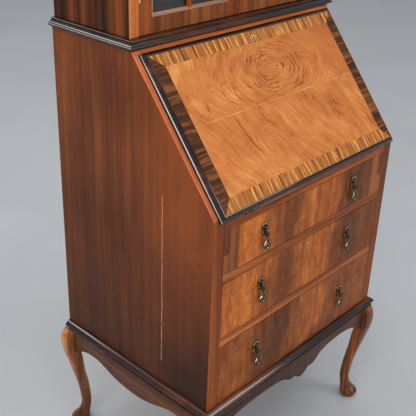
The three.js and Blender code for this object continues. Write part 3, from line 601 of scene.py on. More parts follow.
def add_piece(name, mesh, body="carcase", slot=None, replaced=()):
    piece = link(name, mesh)
    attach(piece, body)
    if replaced:
        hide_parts(*replaced)
    return piece


def shaded(bm, name, materials, sharp=32):
    """A mesh from bm, smooth apart from edges that turn by more than sharp degrees."""
    bmesh.ops.recalc_face_normals(bm, faces=bm.faces)
    mesh = bpy.data.meshes.new(name)
    for face in bm.faces:
        face.smooth = True
    bm.to_mesh(mesh)
    bm.free()
    for material in materials:
        mesh.materials.append(material)
    mesh.set_sharp_from_angle(angle=math.radians(sharp))
    return mesh


def soft_normals(piece):
    """Keeps broad faces flat where their rounded edges are smooth shaded."""
    piece.modifiers.new("flat_faces", "WEIGHTED_NORMAL").keep_sharp = False


def rounded_piece(bm, name, material, round_edge, **riding):
    """A piece from bm with every corner of more than 25 degrees rounded by round_edge millimetres."""
    bmesh.ops.recalc_face_normals(bm, faces=bm.faces)
    edges = [e for e in bm.edges if e.calc_face_angle(0) > math.radians(25)]
    bmesh.ops.bevel(
        bm, geom=edges, offset=round_edge * MM, segments=2, profile=0.5, affect="EDGES", clamp_overlap=True
    )
    piece = add_piece(name, shaded(bm, name, [material], 180), **riding)
    soft_normals(piece)
    return piece


def fill_box(bm, x, y, z, place):
    corners = [bm.verts.new(place(i, j, k)) for i in x for j in y for k in z]
    for face in ((0, 1, 3, 2), (4, 6, 7, 5), (0, 4, 5, 1), (2, 3, 7, 6), (0, 2, 6, 4), (1, 5, 7, 3)):
        bm.faces.new([corners[k] for k in face])


def boards(name, boxes, material, round_edge=0.6, place=at, **riding):
    """One piece made of boards with rounded edges. Each box is its limits along x, y and z."""
    bm = bmesh.new()
    for x, y, z in boxes:
        fill_box(bm, x, y, z, place)
    return rounded_piece(bm, name, material, round_edge, **riding)


def board(name, x, y, z, material, **options):
    return boards(name, [(x, y, z)], material, **options)


def own(x, y, z):
    """A point of a piece's own frame, in metres."""
    return Vector((x, y, z)) * MM


def loft(bm, rows, place, closed=False):
    """Faces between rows of points, capped at the ends unless closed joins the last row to the first."""
    rings = [[bm.verts.new(place(*point)) for point in row] for row in rows]
    pairs = list(zip(rings, rings[1:])) + ([(rings[-1], rings[0])] if closed else [])
    count = len(rings[0])
    for ring, following in pairs:
        for i in range(count):
            j = (i + 1) % count
            bm.faces.new((ring[i], ring[j], following[j], following[i]))
    if not closed:
        bm.faces.new(rings[0])
        bm.faces.new(rings[-1])


def lofted(name, rows, material, place=at, sharp=32, closed=False, **riding):
    bm = bmesh.new()
    loft(bm, rows, place, closed)
    return add_piece(name, shaded(bm, name, [material], sharp), **riding)


def prism(name, outline, across, axis, material, round_edge=0.5, place=at, **riding):
    """An outline extruded along an axis. The outline's two coordinates are the other axes, in order."""
    rows = []
    for depth in across:
        row = [list(corner) for corner in outline]
        for point in row:
            point.insert(AXES[axis], depth)
        rows.append(row)
    bm = bmesh.new()
    loft(bm, rows, place)
    return rounded_piece(bm, name, material, round_edge, **riding)


def arc(centre, radius, start, end, steps=6):
    """Points on an arc, with angles in degrees."""
    return scroll(centre, radius, start, end - start, 0, steps)


def scroll(centre, radius, start, sweep, shrink, steps=14):
    """Points on a spiral whose radius loses the share shrink over its sweep, in degrees."""
    points = []
    for i in range(steps + 1):
        angle = math.radians(start + sweep * i / steps)
        r = radius * (1 - shrink * i / steps)
        points.append((centre[0] + r * math.cos(angle), centre[1] + r * math.sin(angle)))
    return points


def bezier(a, b, c, d, steps=10):
    """Points after a on a cubic curve from a to d."""
    points = []
    for i in range(1, steps + 1):
        t = i / steps
        u = 1 - t
        weights = (u**3, 3 * u * u * t, 3 * u * t * t, t**3)
        points.append(tuple(sum(w * p[k] for w, p in zip(weights, (a, b, c, d))) for k in (0, 1)))
    return points


def catmull_rom(p, q, r, s, t):
    """The curve through p, q, r and s, at t between q and r."""
    return 0.5 * (2 * q + (r - p) * t + (2 * p - 5 * q + 4 * r - s) * t * t + (3 * q - p - 3 * r + s) * t**3)


def through(rows, steps):
    """Smooth rows between the given rows of numbers."""
    found = []
    for i in range(len(rows) - 1):
        four = rows[max(i - 1, 0)], rows[i], rows[i + 1], rows[min(i + 2, len(rows) - 1)]
        for k in range(steps):
            found.append(tuple(catmull_rom(*column, k / steps) for column in zip(*four)))
    found.append(tuple(rows[-1]))
    return found


def outline_mesh(name, loops, thickness, edge, material):
    """A flat plate in x and y with rounded edges, from closed loops in millimetres, its back on z = 0."""
    curve = bpy.data.curves.new(name, "CURVE")
    curve.dimensions = "2D"
    curve.fill_mode = "BOTH"
    curve.extrude = (thickness / 2 - edge) * MM
    curve.bevel_depth = edge * MM
    curve.bevel_resolution = 2
    curve.offset = -edge * MM
    for loop in loops:
        spline = curve.splines.new("POLY")
        spline.points.add(len(loop) - 1)
        for point, (x, y) in zip(spline.points, loop):
            point.co = (x * MM, y * MM, 0, 1)
        spline.use_cyclic_u = True
    holder = link(name, curve)
    bpy.context.view_layer.update()
    mesh = bpy.data.meshes.new_from_object(holder.evaluated_get(bpy.context.evaluated_depsgraph_get()))
    bpy.data.objects.remove(holder)
    mesh.transform(Matrix.Translation((0, 0, thickness / 2 * MM)))
    bm = bmesh.new()
    bm.from_mesh(mesh)
    bmesh.ops.remove_doubles(bm, verts=bm.verts, dist=NEAR)
    return shaded(bm, name, [material], 50)


# Turn a plate drawn in x and y upright: facing the front its z grows towards -y, facing right towards x.
FACING_FRONT = Matrix(((1, 0, 0, 0), (0, 0, -1, 0), (0, 1, 0, 0), (0, 0, 0, 1)))
FACING_RIGHT = Matrix(((0, 0, 1, 0), (1, 0, 0, 0), (0, 1, 0, 0), (0, 0, 0, 1)))


def plate(name, loops, thickness, edge, material, matrix, **riding):
    """A flat plate with rounded edges, moved into place by a matrix."""
    mesh = outline_mesh(name, loops, thickness, edge, material)
    mesh.transform(matrix)
    return add_piece(name, mesh, **riding)


def soften(node, material, width):
    """Gives a CAD node a better material and rounded edges, by modifiers."""
    piece = frame["nodes"][node]
    piece.data.materials.clear()
    piece.data.materials.append(material)
    piece.modifiers.new("join", "WELD").merge_threshold = 1e-5
    flat = piece.modifiers.new("flat", "DECIMATE")
    flat.decimate_type = "DISSOLVE"
    flat.angle_limit = math.radians(1)
    rounded = piece.modifiers.new("rounded", "BEVEL")
    rounded.width = width * MM
    rounded.segments = 2
    rounded.limit_method = "ANGLE"
    rounded.angle_limit = math.radians(35)
    soft_normals(piece)


def ordered(a, b):
    return (min(a, b), max(a, b))


# ---------------------------------------------------------------- stand

# Heights down a leg: z, how far its faces stand out from the carcase corner, how far they reach in
# from it, and the exponent of the section's superellipse.
LEG_LEVELS = [
    (-25.3, 10.8, 18.3, 5),
    (-36, 15.4, 18.3, 5),
    (-51, 18.3, 18.3, 5),
    (-66, 18.9, 18.3, 4.6),
    (-80, 18.4, 18.3, 4.2),
    (-94, 16.2, 18.6, 3.9),
    (-116, 11.8, 22, 3.6),
    (-157, 2.8, 25.2, 3),
    (-198, -5, 30.6, 2.4),
    (-243, -9.1, 34.5, 2),
    (-264, -8.6, 33.9, 2),
    (-284, -3.2, 32.6, 2),
    (-297, 6.8, 33.2, 2),
    (-304, 12.2, 34.2, 2),
    (-308.5, 13.4, 34.5, 2),
    (-311.5, 12.4, 33.8, 2),
    (-313, 10.0, 31.8, 2),
    (-316, 9.8, 31.6, 2),
    (-319.5, 8.8, 30.8, 2),
    (-321, 6.5, 28, 2),
]
LEG_SIDES = 40
LEG_SHRINK = 0.997


def leg_section(z, out, inside, squareness):
    """A front right leg's section at one height: a superellipse."""
    half = (out + inside) / 2
    centre = (out - inside) / 2
    row = []
    for i in range(LEG_SIDES):
        angle = (i + 0.5) / LEG_SIDES * math.tau
        cos, sin = math.cos(angle), math.sin(angle)
        across = math.copysign(abs(cos) ** (2 / squareness), cos) * LEG_SHRINK
        deep = math.copysign(abs(sin) ** (2 / squareness), sin) * LEG_SHRINK
        row.append((HALF_WIDTH + centre + half * across, -centre + half * deep, z))
    return row


def make_legs():
    leg = [leg_section(*level) for level in through(LEG_LEVELS, 4)]
    for side, sign in SIDES:
        for end in ("front", "rear"):
            rows = [[(sign * x, y if end == "front" else DEPTH - y, z) for x, y, z in row] for row in leg]
            name = f"leg_{end}_{side}"
            lofted(f"{name}_turned", rows, LEG, sharp=50, slot="stand_walnut", replaced=[name])


APRON_EDGE = 1.6


def front_apron_outline():
    """The front apron, from its top left corner: two flat arches and a double-lobed drop between them."""
    (low_x, high_x), y, (low_z, top) = limits("apron_front")
    end_z = -90
    left, right = -5, 59
    middle = (left + right) / 2
    lobe, notch = -82.8, -80.6
    points = [(low_x, top), (low_x, end_z)]
    points += bezier((low_x, end_z), (-252, -68), (-215, -57.5), (-160, -57), 14)
    points += bezier((-160, -57), (-95, -57), (-62, -58.5), (-40, -69), 12)
    points += bezier((-40, -69), (-26, -77), (-20, -82.5), (left - 4, lobe), 8)
    points += bezier((left - 4, lobe), (left - 1, lobe), (left, -82), (left, notch), 3)
    points += bezier((left, notch), (left + 14, -81), (left + 16, low_z), (middle, low_z), 10)
    points += bezier((middle, low_z), (right - 16, low_z), (right - 14, -81), (right, notch), 10)
    points += bezier((right, notch), (right, -82), (right + 1, lobe), (right + 4, lobe), 3)
    points += bezier((right + 4, lobe), (77, -82.5), (84, -76), (96, -67), 8)
    points += bezier((96, -67), (118, -56), (150, -53), (185, -54), 12)
    points += bezier((185, -54), (235, -56), (255, -69), (high_x, end_z), 14)
    points.append((high_x, top))
    return points


def side_apron_outline():
    """A side apron: two arches and a round drop, the same from front to rear."""
    x, (front, rear), (end_z, top) = limits("apron_side_left")
    middle = DEPTH / 2
    arch_z, drop_z = -62, -88
    arch_low, arch_high = (middle - 138, arch_z), (middle + 138, arch_z)
    drop = (middle, drop_z)
    points = [(front, top), (front, end_z)]
    points += bezier((front, end_z), (middle - 188, -72), (middle - 165, arch_z), arch_low, 10)
    points += bezier(arch_low, (middle - 95, arch_z + 1), (middle - 75, drop_z), drop, 14)
    points += bezier(drop, (middle + 75, drop_z), (middle + 95, arch_z + 1), arch_high, 14)
    points += bezier(arch_high, (middle + 165, arch_z), (middle + 188, -72), (rear, end_z), 10)
    points.append((rear, top))
    return points


def make_aprons():
    y = limits("apron_front")[1]
    matrix = Matrix.Translation(at(0, y[1], 0)) @ FACING_FRONT
    riding = {"slot": "stand_walnut", "replaced": ["apron_front"]}
    plate("apron_front_sawn", [front_apron_outline()], y[1] - y[0], APRON_EDGE, APRON, matrix, **riding)
    for side, sign in SIDES:
        name = f"apron_side_{side}"
        x = limits(name)[0]
        matrix = Matrix.Translation(at(x[0], 0, 0)) @ FACING_RIGHT
        riding = {"slot": "stand_walnut", "replaced": [name]}
        plate(f"{name}_sawn", [side_apron_outline()], x[1] - x[0], APRON_EDGE, APRON_SIDE, matrix, **riding)
    soften("apron_rear", APRON, 1.2)


# ---------------------------------------------------------------- mouldings round the carcase

BASE_OPENING = 270
BASE_LOW = -25
BASE_TOP = -0.5


def three_sided_rows(profile, half, back):
    """A profile of [projection, height] along the left side, the front and the right side, with mitres."""
    rows = []
    for sign, front in ((-1, False), (-1, True), (1, True), (1, False)):
        rows.append([(sign * (half + out), -out if front else back, z) for out, z in profile])
    return rows


def board_levels(profile, half, front):
    """Outlines, level by level, of a board whose front and side edges follow [projection, height] points."""
    rows = []
    for out, z in profile:
        x, y = half + out, front - out
        rows.append([(-x, DEPTH, z), (-x, y, z), (x, y, z), (x, DEPTH, z)])
    return rows


def base_profile():
    """Outer edge from the bottom up, then the inside: a bead under a fascia, a nose and a long bevel."""
    inner = -(HALF_WIDTH - BASE_OPENING)
    points = [(inner, BASE_LOW), (6, BASE_LOW), (8.8, -24.9)]
    points += arc((8.9, -22.9), 2.0, -80, 80, 6)
    points += [(8.2, -20.6), (7.7, -20.0), (7.7, -14.0), (8.2, -13.4), (11.6, -13.0)]
    points += bezier((11.6, -13.0), (13.2, -12.8), (13.4, -11.6), (13.2, -10.4), 5)
    points += [(12.4, -8.6), (7.6, -3.4), (3.6, -1.2), (0.4, BASE_TOP), (inner, BASE_TOP)]
    return points


def waist_profile():
    """A bead, a deep hollow and a bold bevelled band, up from the bureau's top."""
    points = [(2.2, 0.3), (2.2, 3.4), (6.2, 3.8)]
    points += bezier((6.2, 3.8), (9.4, 4.2), (10.6, 5.6), (10.2, 7.6), 6)
    points += [(8.6, 8.6), (8.2, 9.4)]
    points += bezier((8.2, 9.4), (7.0, 12.4), (4.6, 13.2), (2.4, 14.4), 6)
    points += [(0.9, 15.2), (0.7, 16.2)]
    points += bezier((0.7, 16.2), (2.4, 16.6), (2.0, 19.6), (-0.8, 19.7), 6)
    return [(out, BUREAU_TOP + height) for out, height in points]


def make_mouldings():
    rows = three_sided_rows(base_profile(), HALF_WIDTH, DEPTH)
    lofted("base_moulding_run", rows, EBONY, sharp=38, slot="ebonised_walnut", replaced=["base_moulding"])
    half = BASE_OPENING - 0.2
    board("base_rear_rail", (-half, half), (430, DEPTH), (BASE_LOW, BASE_TOP), EBONY, slot="ebonised_walnut")
    rows = board_levels(waist_profile(), HALF_WIDTH, SLOPE_RUN)
    lofted("waist_moulding_run", rows, EBONY, sharp=38, slot="ebonised_walnut", replaced=["waist_moulding"])


# ---------------------------------------------------------------- bureau carcase

LIPPING = 2.2
OUTER_LIPPING = 5.0
LIPPING_GAP = 0.9
SEAM = 0.12
SIDE_THICKNESS = 19
STILE_WIDTH = 29.5
STILE_DEPTH = 22
BACK_BOARDS = 5
BOARD_GAP = 0.9
BEAD_HALF = 0.85


def make_bureau_side(side, sign):
    x, (face_y, rear), (bottom, top) = limits(f"bureau_side_{side}")
    tan = math.tan(SLOPE_ANGLE)
    front = LIPPING + SEAM
    back_off = front / math.cos(SLOPE_ANGLE)
    outer = sign * HALF_WIDTH
    inner = sign * (HALF_WIDTH - SIDE_THICKNESS)
    stile = sign * (HALF_WIDTH - STILE_WIDTH)
    panel = [(front, 0), (rear, 0), (rear, top), (SLOPE_RUN + front / math.sin(SLOPE_ANGLE), top)]
    panel.append((front, SLOPE_LOW + front * tan - back_off))
    riding = {"slot": "side_walnut", "replaced": [f"bureau_side_{side}"]}
    prism(f"side_panel_{side}", panel, ordered(outer, inner), "x", SIDE, **riding)
    facing = [(0, 0), (LIPPING, 0), (LIPPING, SLOPE_LOW + LIPPING * tan - back_off), (0, SLOPE_LOW - 1)]
    prism(f"stile_{side}", facing, ordered(outer, stile), "x", STILE, slot="rail_walnut", round_edge=0.8)
    block_x, block_z = ordered(stile, inner - sign * SEAM), (0, limits("writing_bed")[2][1] - 0.3)
    board(f"stile_block_{side}", block_x, (front, STILE_DEPTH), block_z, STILE, slot="rail_walnut")
    split = sign * (HALF_WIDTH - OUTER_LIPPING)
    run, depth = (0.4, SLOPE_LENGTH - 0.6), (-LIPPING, 0)
    strips = [(ordered(outer, split), run, depth), (ordered(split - sign * LIPPING_GAP, inner), run, depth)]
    boards(f"slope_lipping_{side}", strips, LIP, slot="rail_walnut", place=on_slope, round_edge=0.5)


def vertical_boards(node, material):
    """A back made of upright boards with a narrow bead between them."""
    x, y, z = limits(node)
    width = (x[1] - x[0]) / BACK_BOARDS
    boxes = []
    for i in range(BACK_BOARDS):
        start = x[0] + i * width
        boxes.append(((start + BOARD_GAP, start + width - BOARD_GAP), y, z))
        if i:
            boxes.append(((start - BEAD_HALF, start + BEAD_HALF), (y[0] + 2, y[1] - 3), z))
    boards(f"{node}_boards", boxes, material, slot="oak", replaced=[node], round_edge=0.8)


def make_bureau_carcase():
    for side, sign in SIDES:
        make_bureau_side(side, sign)
        soften(f"loper_housing_{side}", DIVIDER, 0.6)
        soften(f"loper_{side}", LOPER, 0.8)
    soften("drawer_rail_lower", RAIL, 0.7)
    soften("drawer_rail_upper", RAIL, 0.7)
    soften("writing_bed", RAIL, 0.6)
    soften("bureau_top", BEVEL, 0.4)
    soften("bureau_bottom", STILE, 0.5)
    vertical_boards("bureau_back", BACK)


# ---------------------------------------------------------------- fall

FALL_BAND_X = 256
FALL_BAND_S = (30, 301)
VENEER = 0.8
VENEER_GAP = 0.1
FALL_TOP_N = 12.5
FALL_UNDER_N = -6.5
FALL_S = (-8.5, 338)
FALL_HALF = 295
FALL_MOULDING = 10.7
FALL_TONGUE_TOP = 322
HINGE_LEAF = 22
HINGE_LEAF_THICKNESS = 1.6
HINGE_CLEARANCE = 0.3
KNUCKLE_ROOM = 3.4
SKIN_HALF = 246
SKIN_S = (34, 288)


def veneer(name, corners, material):
    """A veneer strip with four corners in x and s."""
    depth = (FALL_TOP_N - VENEER, FALL_TOP_N)
    riding = {"body": "fall", "slot": "fall_walnut"}
    prism(name, corners, depth, "z", material, round_edge=0.1, place=on_slope, **riding)


def make_fall_board():
    edge = FALL_MOULDING + 0.3
    face_x = FALL_HALF - edge
    low, high = FALL_S[0] + edge, FALL_S[1] - edge
    field_low, field_high = FALL_BAND_S[0] + VENEER_GAP, FALL_BAND_S[1] - VENEER_GAP
    inner_x, (inner_low, inner_high) = FALL_BAND_X, FALL_BAND_S
    field_x = inner_x - VENEER_GAP
    field = [(-field_x, field_low), (field_x, field_low), (field_x, field_high), (-field_x, field_high)]
    bottom = [(-face_x, low), (face_x, low), (inner_x, inner_low), (-inner_x, inner_low)]
    top = [(-inner_x, inner_high), (inner_x, inner_high), (face_x, high), (-face_x, high)]
    veneer("fall_field", field, FIELD)
    veneer("fall_crossband_bottom", bottom, BAND)
    veneer("fall_crossband_top", top, BAND)
    for side, sign in SIDES:
        strip_x = sign * (inner_x + VENEER_GAP)
        strip = [(sign * face_x, low + VENEER_GAP), (strip_x, field_low)]
        strip += [(strip_x, field_high), (sign * face_x, high - VENEER_GAP)]
        veneer(f"fall_crossband_{side}", strip, BAND_SIDE)
    core = ((-face_x, face_x), (low, high), (0.4, FALL_TOP_N - VENEER - 0.05))
    riding = {"body": "fall", "slot": "fall_walnut", "replaced": ["fall_panel"]}
    board("fall_core", *core, INNER, place=on_slope, round_edge=0.3, **riding)


def make_fall_tongue():
    """The inner leaf of the fall, with recesses for the hinges, built from boards round them."""
    half = HALF_WIDTH - SIDE_THICKNESS - 0.4
    s0, s1 = FALL_S[0], FALL_TONGUE_TOP
    n = (FALL_UNDER_N, 0.3)
    leaf = limits("desk_hinge_leaf_right")[0]
    recess = (leaf[0] - HINGE_CLEARANCE, leaf[1] + HINGE_CLEARANCE)
    recess_s = s0 + HINGE_LEAF + 2 * HINGE_CLEARANCE
    floor = (FALL_UNDER_N + HINGE_LEAF_THICKNESS + HINGE_CLEARANCE, n[1])
    boxes = [((-half, half), (recess_s, s1), n), ((-recess[0], recess[0]), (s0, recess_s), n)]
    for side, sign in SIDES:
        boxes.append((ordered(sign * recess[1], sign * half), (s0, recess_s), n))
        boxes.append((ordered(sign * recess[0], sign * recess[1]), (s0 + KNUCKLE_ROOM, recess_s), floor))
    boards("fall_tongue", boxes, INNER_FACE, body="fall", slot="fall_walnut", place=on_slope, round_edge=0.25)


def thumb_profile():
    """Fall moulding: [inset from the rim, height]. A rounded nose that slants in to a quirk and a flat."""
    points = [(0.3, 0.4), (0, 1.2), (0, 4.3), (0.12, 4.8), (0.35, 5.1), (1.75, 6.83), (2.0, 7.05)]
    points += bezier((2.0, 7.05), (3.5, 8.2), (5.0, 9.5), (6.6, 10.7), 4)
    points += [(7.0, 10.6), (7.4, 10.2), (7.9, 10.2), (8.3, 10.8), (8.6, 12.0), (9.3, 12.3), (10.6, 12.3)]
    points.append((10.6, 0.4))
    return points


def make_fall_moulding():
    rows = []
    for sign_x, rim, inwards in ((-1, 0, 1), (1, 0, 1), (1, 1, -1), (-1, 1, -1)):
        row = []
        for inset, n in thumb_profile():
            row.append((sign_x * (FALL_HALF - inset), FALL_S[rim] + inwards * inset, n))
        rows.append(row)
    riding = {"body": "fall", "slot": "ebonised_walnut", "replaced": ["fall_moulding"]}
    lofted("fall_moulding_run", rows, EBONY, place=on_slope, closed=True, sharp=34, **riding)


def keyhole_outline(width, height):
    """A keyhole: a round head at the top and a skirt that widens downwards, about x = 0, y = 0."""
    radius = width / 2
    centre = height / 2 - radius
    neck, neck_y = radius * 0.55, centre - radius * 1.05
    points = arc((0, centre), radius, -60, 240, 18)
    points += [(-neck, neck_y), (-radius * 0.78, -height / 2), (radius * 0.78, -height / 2), (neck, neck_y)]
    return points


def escutcheon(name, width, height, proud, matrix, body):
    """A keyhole-shaped thread of brass, with a dark plate inside it as the keyhole's painted shadow."""
    outer = keyhole_outline(width, height)
    inner = keyhole_outline(width * 0.5, height * 0.64)
    plate(name, [outer, inner], proud, proud * 0.35, BRASS, matrix, body=body, slot="brass")
    hole_riding = {"body": body, "slot": "antique_brass"}
    plate(f"{name}_hole", [inner], proud * 0.4, proud * 0.1, KEYHOLE_SHADOW, matrix, **hole_riding)


def slope_matrix(x, s, n):
    """Puts a plate drawn in x and y onto the slope: y runs up it and z out of it."""
    return Matrix.Translation(on_slope(x, s, n)) @ Matrix.Rotation(SLOPE_ANGLE, 4, "X")


def screw(name, matrix, radius, body):
    """A countersunk screw head with an open slot, lying in x and y, its top on z = 0.3 mm."""
    slot_half = radius * 0.16
    loops = []
    for start, shift in ((0, slot_half), (180, -slot_half)):
        half_round = arc((0, 0), radius - slot_half, start + 4, start + 176, 12)
        loops.append([(x, y + shift) for x, y in half_round])
    plate(name, loops, 0.3, 0.08, BRASS, matrix, body=body, slot="brass")


UNDER_SIDE = Matrix.Rotation(math.pi, 4, "X")


def make_fall_lock():
    escutcheon("fall_escutcheon", 11, 21, 0.7, slope_matrix(4, 307, FALL_TOP_N - 0.1), "fall")
    lock = slope_matrix(0, 308, FALL_UNDER_N + 0.2) @ UNDER_SIDE
    loops = [[(-24, -12), (24, -12), (24, 12), (-24, 12)], keyhole_outline(5, 10)]
    plate("fall_lock_plate", loops, 0.8, 0.2, OLD_BRASS, lock, body="fall", slot="brass")
    for index, (x, y) in enumerate(((-19, -8), (19, -8), (-19, 8), (19, 8))):
        screw(f"lock_screw_{index + 1}", lock @ Matrix.Translation(own(x, y, 0.6)), 2.2, "fall")


def make_fall_hinges():
    for side, sign in SIDES:
        leaf_x, leaf_y, leaf_z = limits(f"desk_hinge_leaf_{side}")
        middle = (leaf_x[0] + leaf_x[1]) / 2
        for index, x in enumerate((middle - 12, middle + 12)):
            fall_place = slope_matrix(x, FALL_S[0] + 14, FALL_UNDER_N + 0.1) @ UNDER_SIDE
            screw(f"fall_hinge_screw_{side}_{index + 1}", fall_place, 2.4, "fall")
            desk_place = Matrix.Translation(at(x, leaf_y[1] - 8, leaf_z[1] - 0.05))
            screw(f"desk_hinge_screw_{side}_{index + 1}", desk_place, 2.4, "carcase")
        soften(f"fall_hinge_leaf_{side}", OLD_BRASS, 0.2)
        soften(f"desk_hinge_leaf_{side}", OLD_BRASS, 0.2)


def make_writing_skin():
    """The leather, and two gilt lines round it."""
    depth = (FALL_UNDER_N - 0.35, FALL_UNDER_N + 0.1)
    options = {"body": "fall", "place": on_slope}
    board("writing_skin", (-SKIN_HALF, SKIN_HALF), SKIN_S, depth, LEATHER, round_edge=0.1, **options)
    line, wide, clear = [], 0.8, 0.9
    depth = (FALL_UNDER_N - 0.42, FALL_UNDER_N - 0.3)
    for inset in (7, 9.5):
        x, low, high = SKIN_HALF - inset, SKIN_S[0] + inset, SKIN_S[1] - inset
        line += [((-x, x), (low, low + wide), depth), ((-x, x), (high - wide, high), depth)]
        for sign in (-1, 1):
            line.append((ordered(sign * x, sign * (x - wide)), (low + clear, high - clear), depth))
    boards("skin_tooling", line, GILT, round_edge=0.04, **options)


# ---------------------------------------------------------------- drawers

LEVELS = ("top", "middle", "bottom")
KEYHOLE_Z = {"top": 397, "middle": 281, "bottom": 136}
FRONT_GAP = 0.5
FRONT_GAP_TOP = 1.2
FRONT_VENEER = 2.2
BOX_WALL = 9
BOX_FLOOR = 6
PIN_HALF = (3.0, 5.2)


def make_drawer_front(level, body):
    x, y, z = limits(f"drawer_front_{level}")
    front_x = (x[0] + FRONT_GAP, x[1] - FRONT_GAP)
    front_z = (z[0] + FRONT_GAP, z[1] - FRONT_GAP_TOP)
    riding = {"body": body, "slot": "front_walnut", "replaced": [f"drawer_front_{level}"]}
    board(f"{body}_veneered_front", front_x, (0, FRONT_VENEER), front_z, DRAWER, round_edge=0.7, **riding)
    core_y = (FRONT_VENEER + 0.1, y[1])
    board(f"{body}_front_core", front_x, core_y, front_z, OAK_X, round_edge=0.4, body=body, slot="oak")


def make_drawer_box(level, body):
    x, y, z = limits(f"drawer_box_{level}")
    riding = {"body": body, "slot": "oak"}
    shells = [(ordered(sign * x[1], sign * (x[1] - BOX_WALL)), y, z) for sign in (-1, 1)]
    boards(f"{body}_walls", shells, OAK_Y, replaced=[f"drawer_box_{level}"], **riding)
    half = x[1] - BOX_WALL - 0.1
    cross = [((-half, half), (y[1] - BOX_WALL, y[1]), (z[0] + BOX_FLOOR + 2, z[1] - 4))]
    cross.append(((-half, half), (y[0], y[0] + BOX_WALL - 0.2), z))
    boards(f"{body}_back", cross, OAK_X, **riding)
    floor = (-half, half), (y[0] + BOX_WALL, y[1]), (z[0] + 2, z[0] + BOX_FLOOR + 1)
    board(f"{body}_floor", *floor, OAK_X, **riding)
    make_dovetails(body, x[1], y, z)


def make_dovetails(body, outer, y, z):
    """End grain of the pins that show on a drawer's sides, front and back."""
    count = max(3, round((z[1] - z[0]) / 30))
    pitch = (z[1] - z[0]) / count
    narrow, wide = PIN_HALF
    bm = bmesh.new()
    for sign in (-1, 1):
        face = sign * (outer + 0.08)
        for start, length in ((y[0], 11), (y[1], -8)):
            for i in range(count):
                middle = z[0] + (i + 0.5) * pitch
                corners = [(start, middle - narrow), (start, middle + narrow)]
                corners += [(start + length, middle + wide), (start + length, middle - wide)]
                loft(bm, [[(x, a, b) for a, b in corners] for x in (face, face - sign * 0.5)], at)
    add_piece(f"{body}_dovetails", shaded(bm, f"{body}_dovetails", [OAK_END]), body, "oak")


def make_drawer_lock(level, body):
    place = Matrix.Translation(at(0, 0.1, KEYHOLE_Z[level])) @ FACING_FRONT
    escutcheon(f"{body}_escutcheon", 6.4, 10.5, 0.5, place, body)


# ---------------------------------------------------------------- handles


def tube(bm, points, radii):
    """A tapering round bar along points, in millimetres, closed at both ends."""
    rows = []
    for i, point in enumerate(points):
        ahead = Vector(points[min(i + 1, len(points) - 1)]) - Vector(points[max(i - 1, 0)])
        ahead.normalize()
        side = ahead.cross(Vector((0, 0, 1)))
        if side.length < 0.1:
            side = ahead.cross(Vector((1, 0, 0)))
        side.normalize()
        up = side.cross(ahead)
        around = [k / 8 * math.tau for k in range(8)]
        rows.append([Vector(point) + (side * math.cos(a) + up * math.sin(a)) * radii[i] for a in around])
    loft(bm, rows, own)


def turned(bm, profile, centre, axis, steps=20):
    """A turned shape: profile is [radius, distance along the axis], in millimetres."""
    rows = []
    for radius, along in profile:
        row = []
        for k in range(steps):
            angle = k / steps * math.tau
            point = [radius * math.cos(angle), radius * math.sin(angle)]
            point.insert(AXES[axis], along)
            row.append(Vector(centre) + Vector(point))
        rows.append(row)
    loft(bm, rows, own)


def mirrored_outline(right):
    """A closed outline from its right half, listed from the top down."""
    return right + [(-x, z) for x, z in reversed(right) if x > 0]


# Right halves of the two castings, and the openings in the drop, in x and z down from the plate's top.
PLATE_RIGHT = [
    (0, 0.2),
    (3.2, 0.6),
    (5.4, -0.4),
    (7.4, -1.6),
    (9.6, -2.4),
    (11, -4.4),
    (10.6, -7.0),
    (11, -9.6),
    (10.4, -12.4),
    (8.2, -14.4),
    (7.6, -17.0),
    (9.0, -20.0),
    (8.8, -23.6),
    (6.6, -26.8),
    (3.4, -28.6),
    (0, -30),
]
DROP_RIGHT = [
    (0, -25.2),
    (2.3, -25.4),
    (2.9, -29.5),
    (4.2, -33.5),
    (5.8, -36.8),
    (6.6, -39.4),
    (8.8, -41.6),
    (10.4, -44.6),
    (12.1, -47.2),
    (11.2, -49.8),
    (8.6, -50.6),
    (8.0, -52.6),
    (5.6, -53.6),
    (4.6, -55.8),
    (2.6, -57.0),
    (0, -60),
]
DROP_OPENINGS = [
    [(0, -31), (1.5, -35), (2.0, -38.5), (0, -40.2), (-2.0, -38.5), (-1.5, -35)],
    [(4.2, -41.2), (6.6, -43.6), (7.2, -46.6), (5.0, -47.4), (3.2, -45.2)],
    [(-4.2, -41.2), (-3.2, -45.2), (-5.0, -47.4), (-7.2, -46.6), (-6.6, -43.6)],
    [(0, -47.4), (1.9, -49.6), (1.6, -52.4), (0, -53.6), (-1.6, -52.4), (-1.9, -49.6)],
]
PIVOT_OUT = 9.0
PIVOT = (-PIVOT_OUT, -24.5)
POST_X = 4.3
DROP_FACE = -PIVOT_OUT - 1.0


def joined(name, plain_parts, worn_highlit_part):
    """One casting from several meshes. The proud part is paler: rubbed bright by wear and given a painted
    highlight.
    """
    bm = bmesh.new()
    for part in plain_parts:
        bm.from_mesh(part)
    plain_faces = len(bm.faces)
    bm.from_mesh(worn_highlit_part)
    bm.faces.ensure_lookup_table()
    for face in bm.faces[plain_faces:]:
        face.material_index = 1
    return shaded(bm, name, [BRONZE, WORN_HIGHLIT_BRONZE], 40)


def relief_mesh(name, pairs, single):
    """Raised bars. pairs are [x and z points, y, first and last radius] and stand on both sides."""
    bm = bmesh.new()
    for sign in (-1, 1):
        for points, y, thick, thin in pairs:
            steps = len(points) - 1
            radii = [thick + (thin - thick) * i / steps for i in range(steps + 1)]
            tube(bm, [(sign * x, y, z) for x, z in points], radii)
    for points, radii in single:
        tube(bm, points, radii)
    return shaded(bm, name, [WORN_HIGHLIT_BRONZE], 60)


